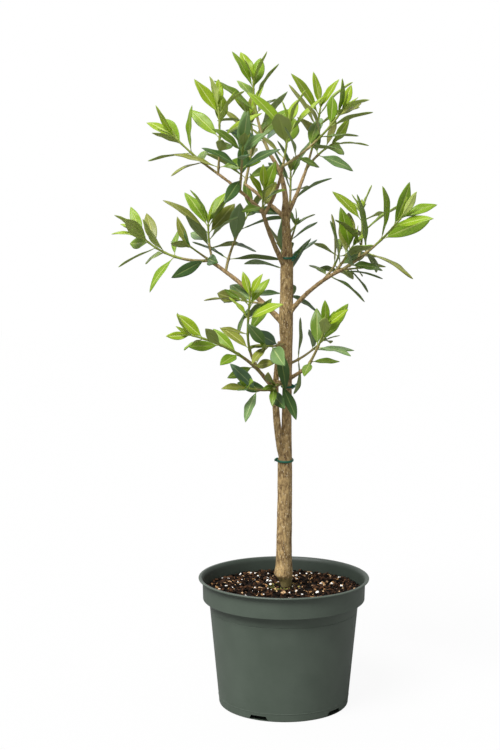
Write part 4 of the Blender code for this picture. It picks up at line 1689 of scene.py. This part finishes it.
@dataclass
class Tie:
    """Soft strap drawn round the trunk, twisted into a knot with two short tails."""

    name: str
    height: float
    skeleton: Skeleton
    knot_heading: float
    tail_rise: float
    width: float = 0.0025
    thickness: float = 0.0013
    snug: float = 0.0005
    droop: float = 0.0010
    lowest: float = -90.0
    tail_length: float = 0.009
    steps: int = 72

    def build(self) -> bpy.types.Object:
        """Make the loop, the knot and the tails as one piece.

        Returns:
            The tie piece.
        """
        vertices, faces = [], []
        self.sweep(self.loop(), self.width, vertices, faces, closed=True)
        for side in (-1.0, 1.0):
            self.sweep(self.tail(side), self.width * 0.85, vertices, faces)
        self.sweep(self.knot(), self.width * 0.9, vertices, faces)
        tie = new_piece(self.name + "_strap", vertices, faces, [StrapFinish().material()])
        tie.data.set_sharp_from_angle(angle=math.radians(50.0))
        return tie

    def at(self, heading: float, out: float, rise: float) -> Vector:
        """Point near the strap.

        Args:
            heading: Degrees round the trunk.
            out: Distance beyond the trunk's bark.
            rise: Height above the strap's middle.

        Returns:
            The point.
        """
        centre = self.skeleton.trunk_point(self.height)
        levels = (self.height - self.width * 0.5, self.height, self.height + self.width * 0.5)
        radius = max(self.skeleton.trunk_radius(level) for level in levels)
        turn = math.radians(heading)
        return centre + Vector((math.cos(turn), math.sin(turn), 0.0)) * (radius + out) + UP * rise

    def slope(self, heading: float) -> float:
        """Rise of the loop above its middle on one side of the trunk; it hangs low in front."""
        return -self.droop * math.cos(math.radians(heading - self.lowest))

    def loop(self) -> list[tuple[Vector, Vector]]:
        """Path of the loop round the trunk.

        Returns:
            Points with the direction out of the strap's face.
        """
        path = []
        for step in range(self.steps):
            heading = self.knot_heading + 360.0 * step / self.steps
            point = self.at(heading, self.snug + self.thickness * 0.5, self.slope(heading))
            path.append((point, direction(heading, 0.0)))
        return path

    def tail(self, side: float) -> list[tuple[Vector, Vector]]:
        """Path of one tail, which springs out of the knot and curls.

        Args:
            side: -1 or 1, the way it leaves the knot.

        Returns:
            Points with the direction out of the strap's face.
        """
        path = []
        for step in range(9):
            share = step / 8
            heading = self.knot_heading + side * (4.0 + 34.0 * share)
            rise = side * self.tail_rise * self.tail_length * share + self.slope(heading)
            point = self.at(heading, self.thickness * (1.4 + 1.6 * share) + 0.0016 * share * share, rise)
            path.append((point, direction(heading + side * 20.0 * share, 12.0 * share)))
        return path

    def knot(self) -> list[tuple[Vector, Vector]]:
        """Path of the short wrap that holds the two tails.

        Returns:
            Points with the direction out of the strap's face.
        """
        path = []
        for step in range(9):
            share = step / 8
            rise = (share - 0.5) * self.width * 1.7
            bulge = math.sin(math.pi * share) * self.thickness * 2.6
            rise += self.slope(self.knot_heading)
            path.append((self.at(self.knot_heading, self.snug + bulge, rise),
                         direction(self.knot_heading, (share - 0.5) * 120.0)))
        return path

    def sweep(self, path: list[tuple[Vector, Vector]], width: float, vertices: list, faces: list,
              closed: bool = False) -> None:
        """Carry the strap's rounded section along a path.

        Args:
            path: Points with the direction out of the strap's face.
            width: Width of the strap.
            vertices: Vertices so far, added to.
            faces: Faces so far, added to.
            closed: Whether the path's end joins its start.
        """
        section = ((-0.5, -0.2), (-0.3, -0.5), (0.3, -0.5), (0.5, -0.2),
                   (0.5, 0.2), (0.3, 0.5), (-0.3, 0.5), (-0.5, 0.2))
        first = len(vertices)
        count = len(path)
        for index, (point, out) in enumerate(path):
            ahead = path[(index + 1) % count][0] if closed or index < count - 1 else point
            behind = path[index - 1][0] if closed or index > 0 else point
            side = (ahead - behind).normalized().cross(out).normalized()
            for wide, thick in section:
                vertices.append(point + side * (wide * width) + out * (thick * self.thickness))
        corners = len(section)
        for index in range(count if closed else count - 1):
            low = first + index * corners
            high = first + (index + 1) % count * corners
            for corner in range(corners):
                after = (corner + 1) % corners
                faces.append((low + corner, low + after, high + after, high + corner))
        if not closed:
            faces.append(tuple(first + corner for corner in range(corners))[::-1])
            faces.append(tuple(first + (count - 1) * corners + corner for corner in range(corners)))


@dataclass
class Studio:
    """White sweep, soft light and the camera."""

    eye: Vector = field(default_factory=lambda: Vector((0.0, -1.6, 0.561)))
    look_down: float = 6.0
    look_left: float = 1.44
    lens_mm: float = 65.8
    floor_radius: float = 6.0
    sky_strength: float = 0.40
    key_strength: float = 4.1
    fill_strength: float = 0.12
    back_strength: float = 0.7
    paper_glow: float = 0.93
    paper_shade: str = "#3A3A3A"
    paper_bounce: str = "#8C8C8C"

    def build(self) -> None:
        """Set up the floor, the light and the camera."""
        self.floor()
        self.sky()
        self.sun("key", self.key_strength, 30.0, heading=-128.0, rise=54.0)
        self.sun("fill", self.fill_strength, 80.0, heading=-40.0, rise=15.0)
        self.sun("back", self.back_strength, 70.0, heading=112.0, rise=42.0)
        self.camera()
        bpy.context.scene.view_settings.view_transform = "Standard"
        bpy.context.scene.view_settings.look = "None"

    def floor(self) -> None:
        """Round matt floor that is as white as the sweep behind it."""
        vertices = [direction(turn * 3.0, 0.0) * self.floor_radius - UP * 0.0001 for turn in range(120)]
        floor = new_piece("floor", vertices, [tuple(range(120))], [self.paper()])

    def paper(self) -> bpy.types.Material:
        """Matt backdrop paper, lit evenly to white, that keeps a trace of the plant's shadow.

        Returns:
            The material.
        """
        paper, shader = new_finish(
            "backdrop_paper", Base_Color=linear(self.paper_shade), Roughness=0.9,
            Specular_IOR_Level=0.0, Emission_Color=linear("#FFFFFF"),
            Emission_Strength=self.paper_glow)
        dim = add_node(paper, "ShaderNodeBsdfDiffuse", Color=linear(self.paper_bounce))
        path = add_node(paper, "ShaderNodeLightPath")
        mix = add_node(paper, "ShaderNodeMixShader", {0: path.outputs["Is Camera Ray"], 1: dim.outputs[0],
                                                      2: shader.outputs[0]})
        paper.node_tree.links.new(mix.outputs[0], paper.node_tree.nodes["Material Output"].inputs["Surface"])
        return paper

    def sky(self) -> None:
        """Even white surround: full white to look at, dimmer as a light."""
        world = bpy.data.worlds.new("studio")
        bpy.context.scene.world = world
        world.use_nodes = True
        lit = world.node_tree.nodes["Background"]
        lit.inputs["Color"].default_value = linear("#FFFFFF")
        lit.inputs["Strength"].default_value = self.sky_strength
        seen = add_node(world, "ShaderNodeBackground", Color=linear("#FFFFFF"), Strength=1.0)
        path = add_node(world, "ShaderNodeLightPath")
        mix = add_node(world, "ShaderNodeMixShader", {0: path.outputs["Is Camera Ray"], 1: lit.outputs[0],
                                                      2: seen.outputs[0]})
        world.node_tree.links.new(mix.outputs[0], world.node_tree.nodes["World Output"].inputs["Surface"])

    def sun(self, name: str, strength: float, spread: float, heading: float, rise: float) -> None:
        """Large soft light far away.

        Args:
            name: Object name.
            strength: Light on a square surface.
            spread: Width of the light as seen from the object, in degrees.
            heading: Degrees from +X towards +Y to where it stands.
            rise: Degrees above level.
        """
        light = bpy.data.lights.new(name, "SUN")
        light.energy = strength
        light.angle = math.radians(spread)
        lamp = bpy.data.objects.new(name, light)
        lamp.rotation_euler = direction(heading, rise).to_track_quat("Z", "Y").to_euler()
        bpy.context.scene.collection.objects.link(lamp)

    def camera(self) -> None:
        """Camera that takes in the whole plant from the front, a little above its middle."""
        camera = bpy.data.objects.new("camera", bpy.data.cameras.new("camera"))
        camera.data.sensor_width = 36.0
        camera.data.lens = self.lens_mm
        camera.location = self.eye
        camera.rotation_euler = (math.radians(90.0 - self.look_down), 0.0, math.radians(self.look_left))
        bpy.context.scene.collection.objects.link(camera)
        bpy.context.scene.camera = camera


def carry(piece: bpy.types.Object, slot: str, *nodes: str) -> None:
    """Put a piece on the plant's body, in place of the solids that it stands for.

    Args:
        piece: The piece.
        slot: Not used.
        *nodes: Solids that it replaces.
    """
    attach(piece, "root")
    if nodes:
        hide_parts(*nodes)
    log.info("%s: %d faces", piece.name, len(piece.data.polygons))


def main() -> None:
    """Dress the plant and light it."""
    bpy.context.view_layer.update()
    skeleton = Skeleton()
    carry(Pot().build(), "pot_plastic", "pot")
    soil = Soil(grains=GRAINS).build()
    carry(soil[0], "potting_soil", "soil")
    for piece in soil[1:]:
        carry(piece, "potting_soil")
    carry(Bark(skeleton).build(), "trunk_bark", "trunk", *(limb.name for limb in BOUGHS))
    for name, height, knot_heading, tail_rise in TIES:
        carry(Tie(name, height, skeleton, knot_heading, tail_rise).build(), "tie_plastic", name)
    palette = Palette()
    for spray in SPRAYS:
        twig, leaves = Foliage(spray, skeleton.paths[spray.name], palette).build()
        carry(twig, "foliage", spray.name)
        carry(leaves, "foliage", spray.name)
    Studio().build()


def corners(box: tuple) -> list[list[float]]:
    """Both corners of a box as plain lists."""
    return [[float(value) for value in corner] for corner in box]


if __name__ == "__main__":
    logging.basicConfig(level=logging.INFO, format="%(message)s")
    main()
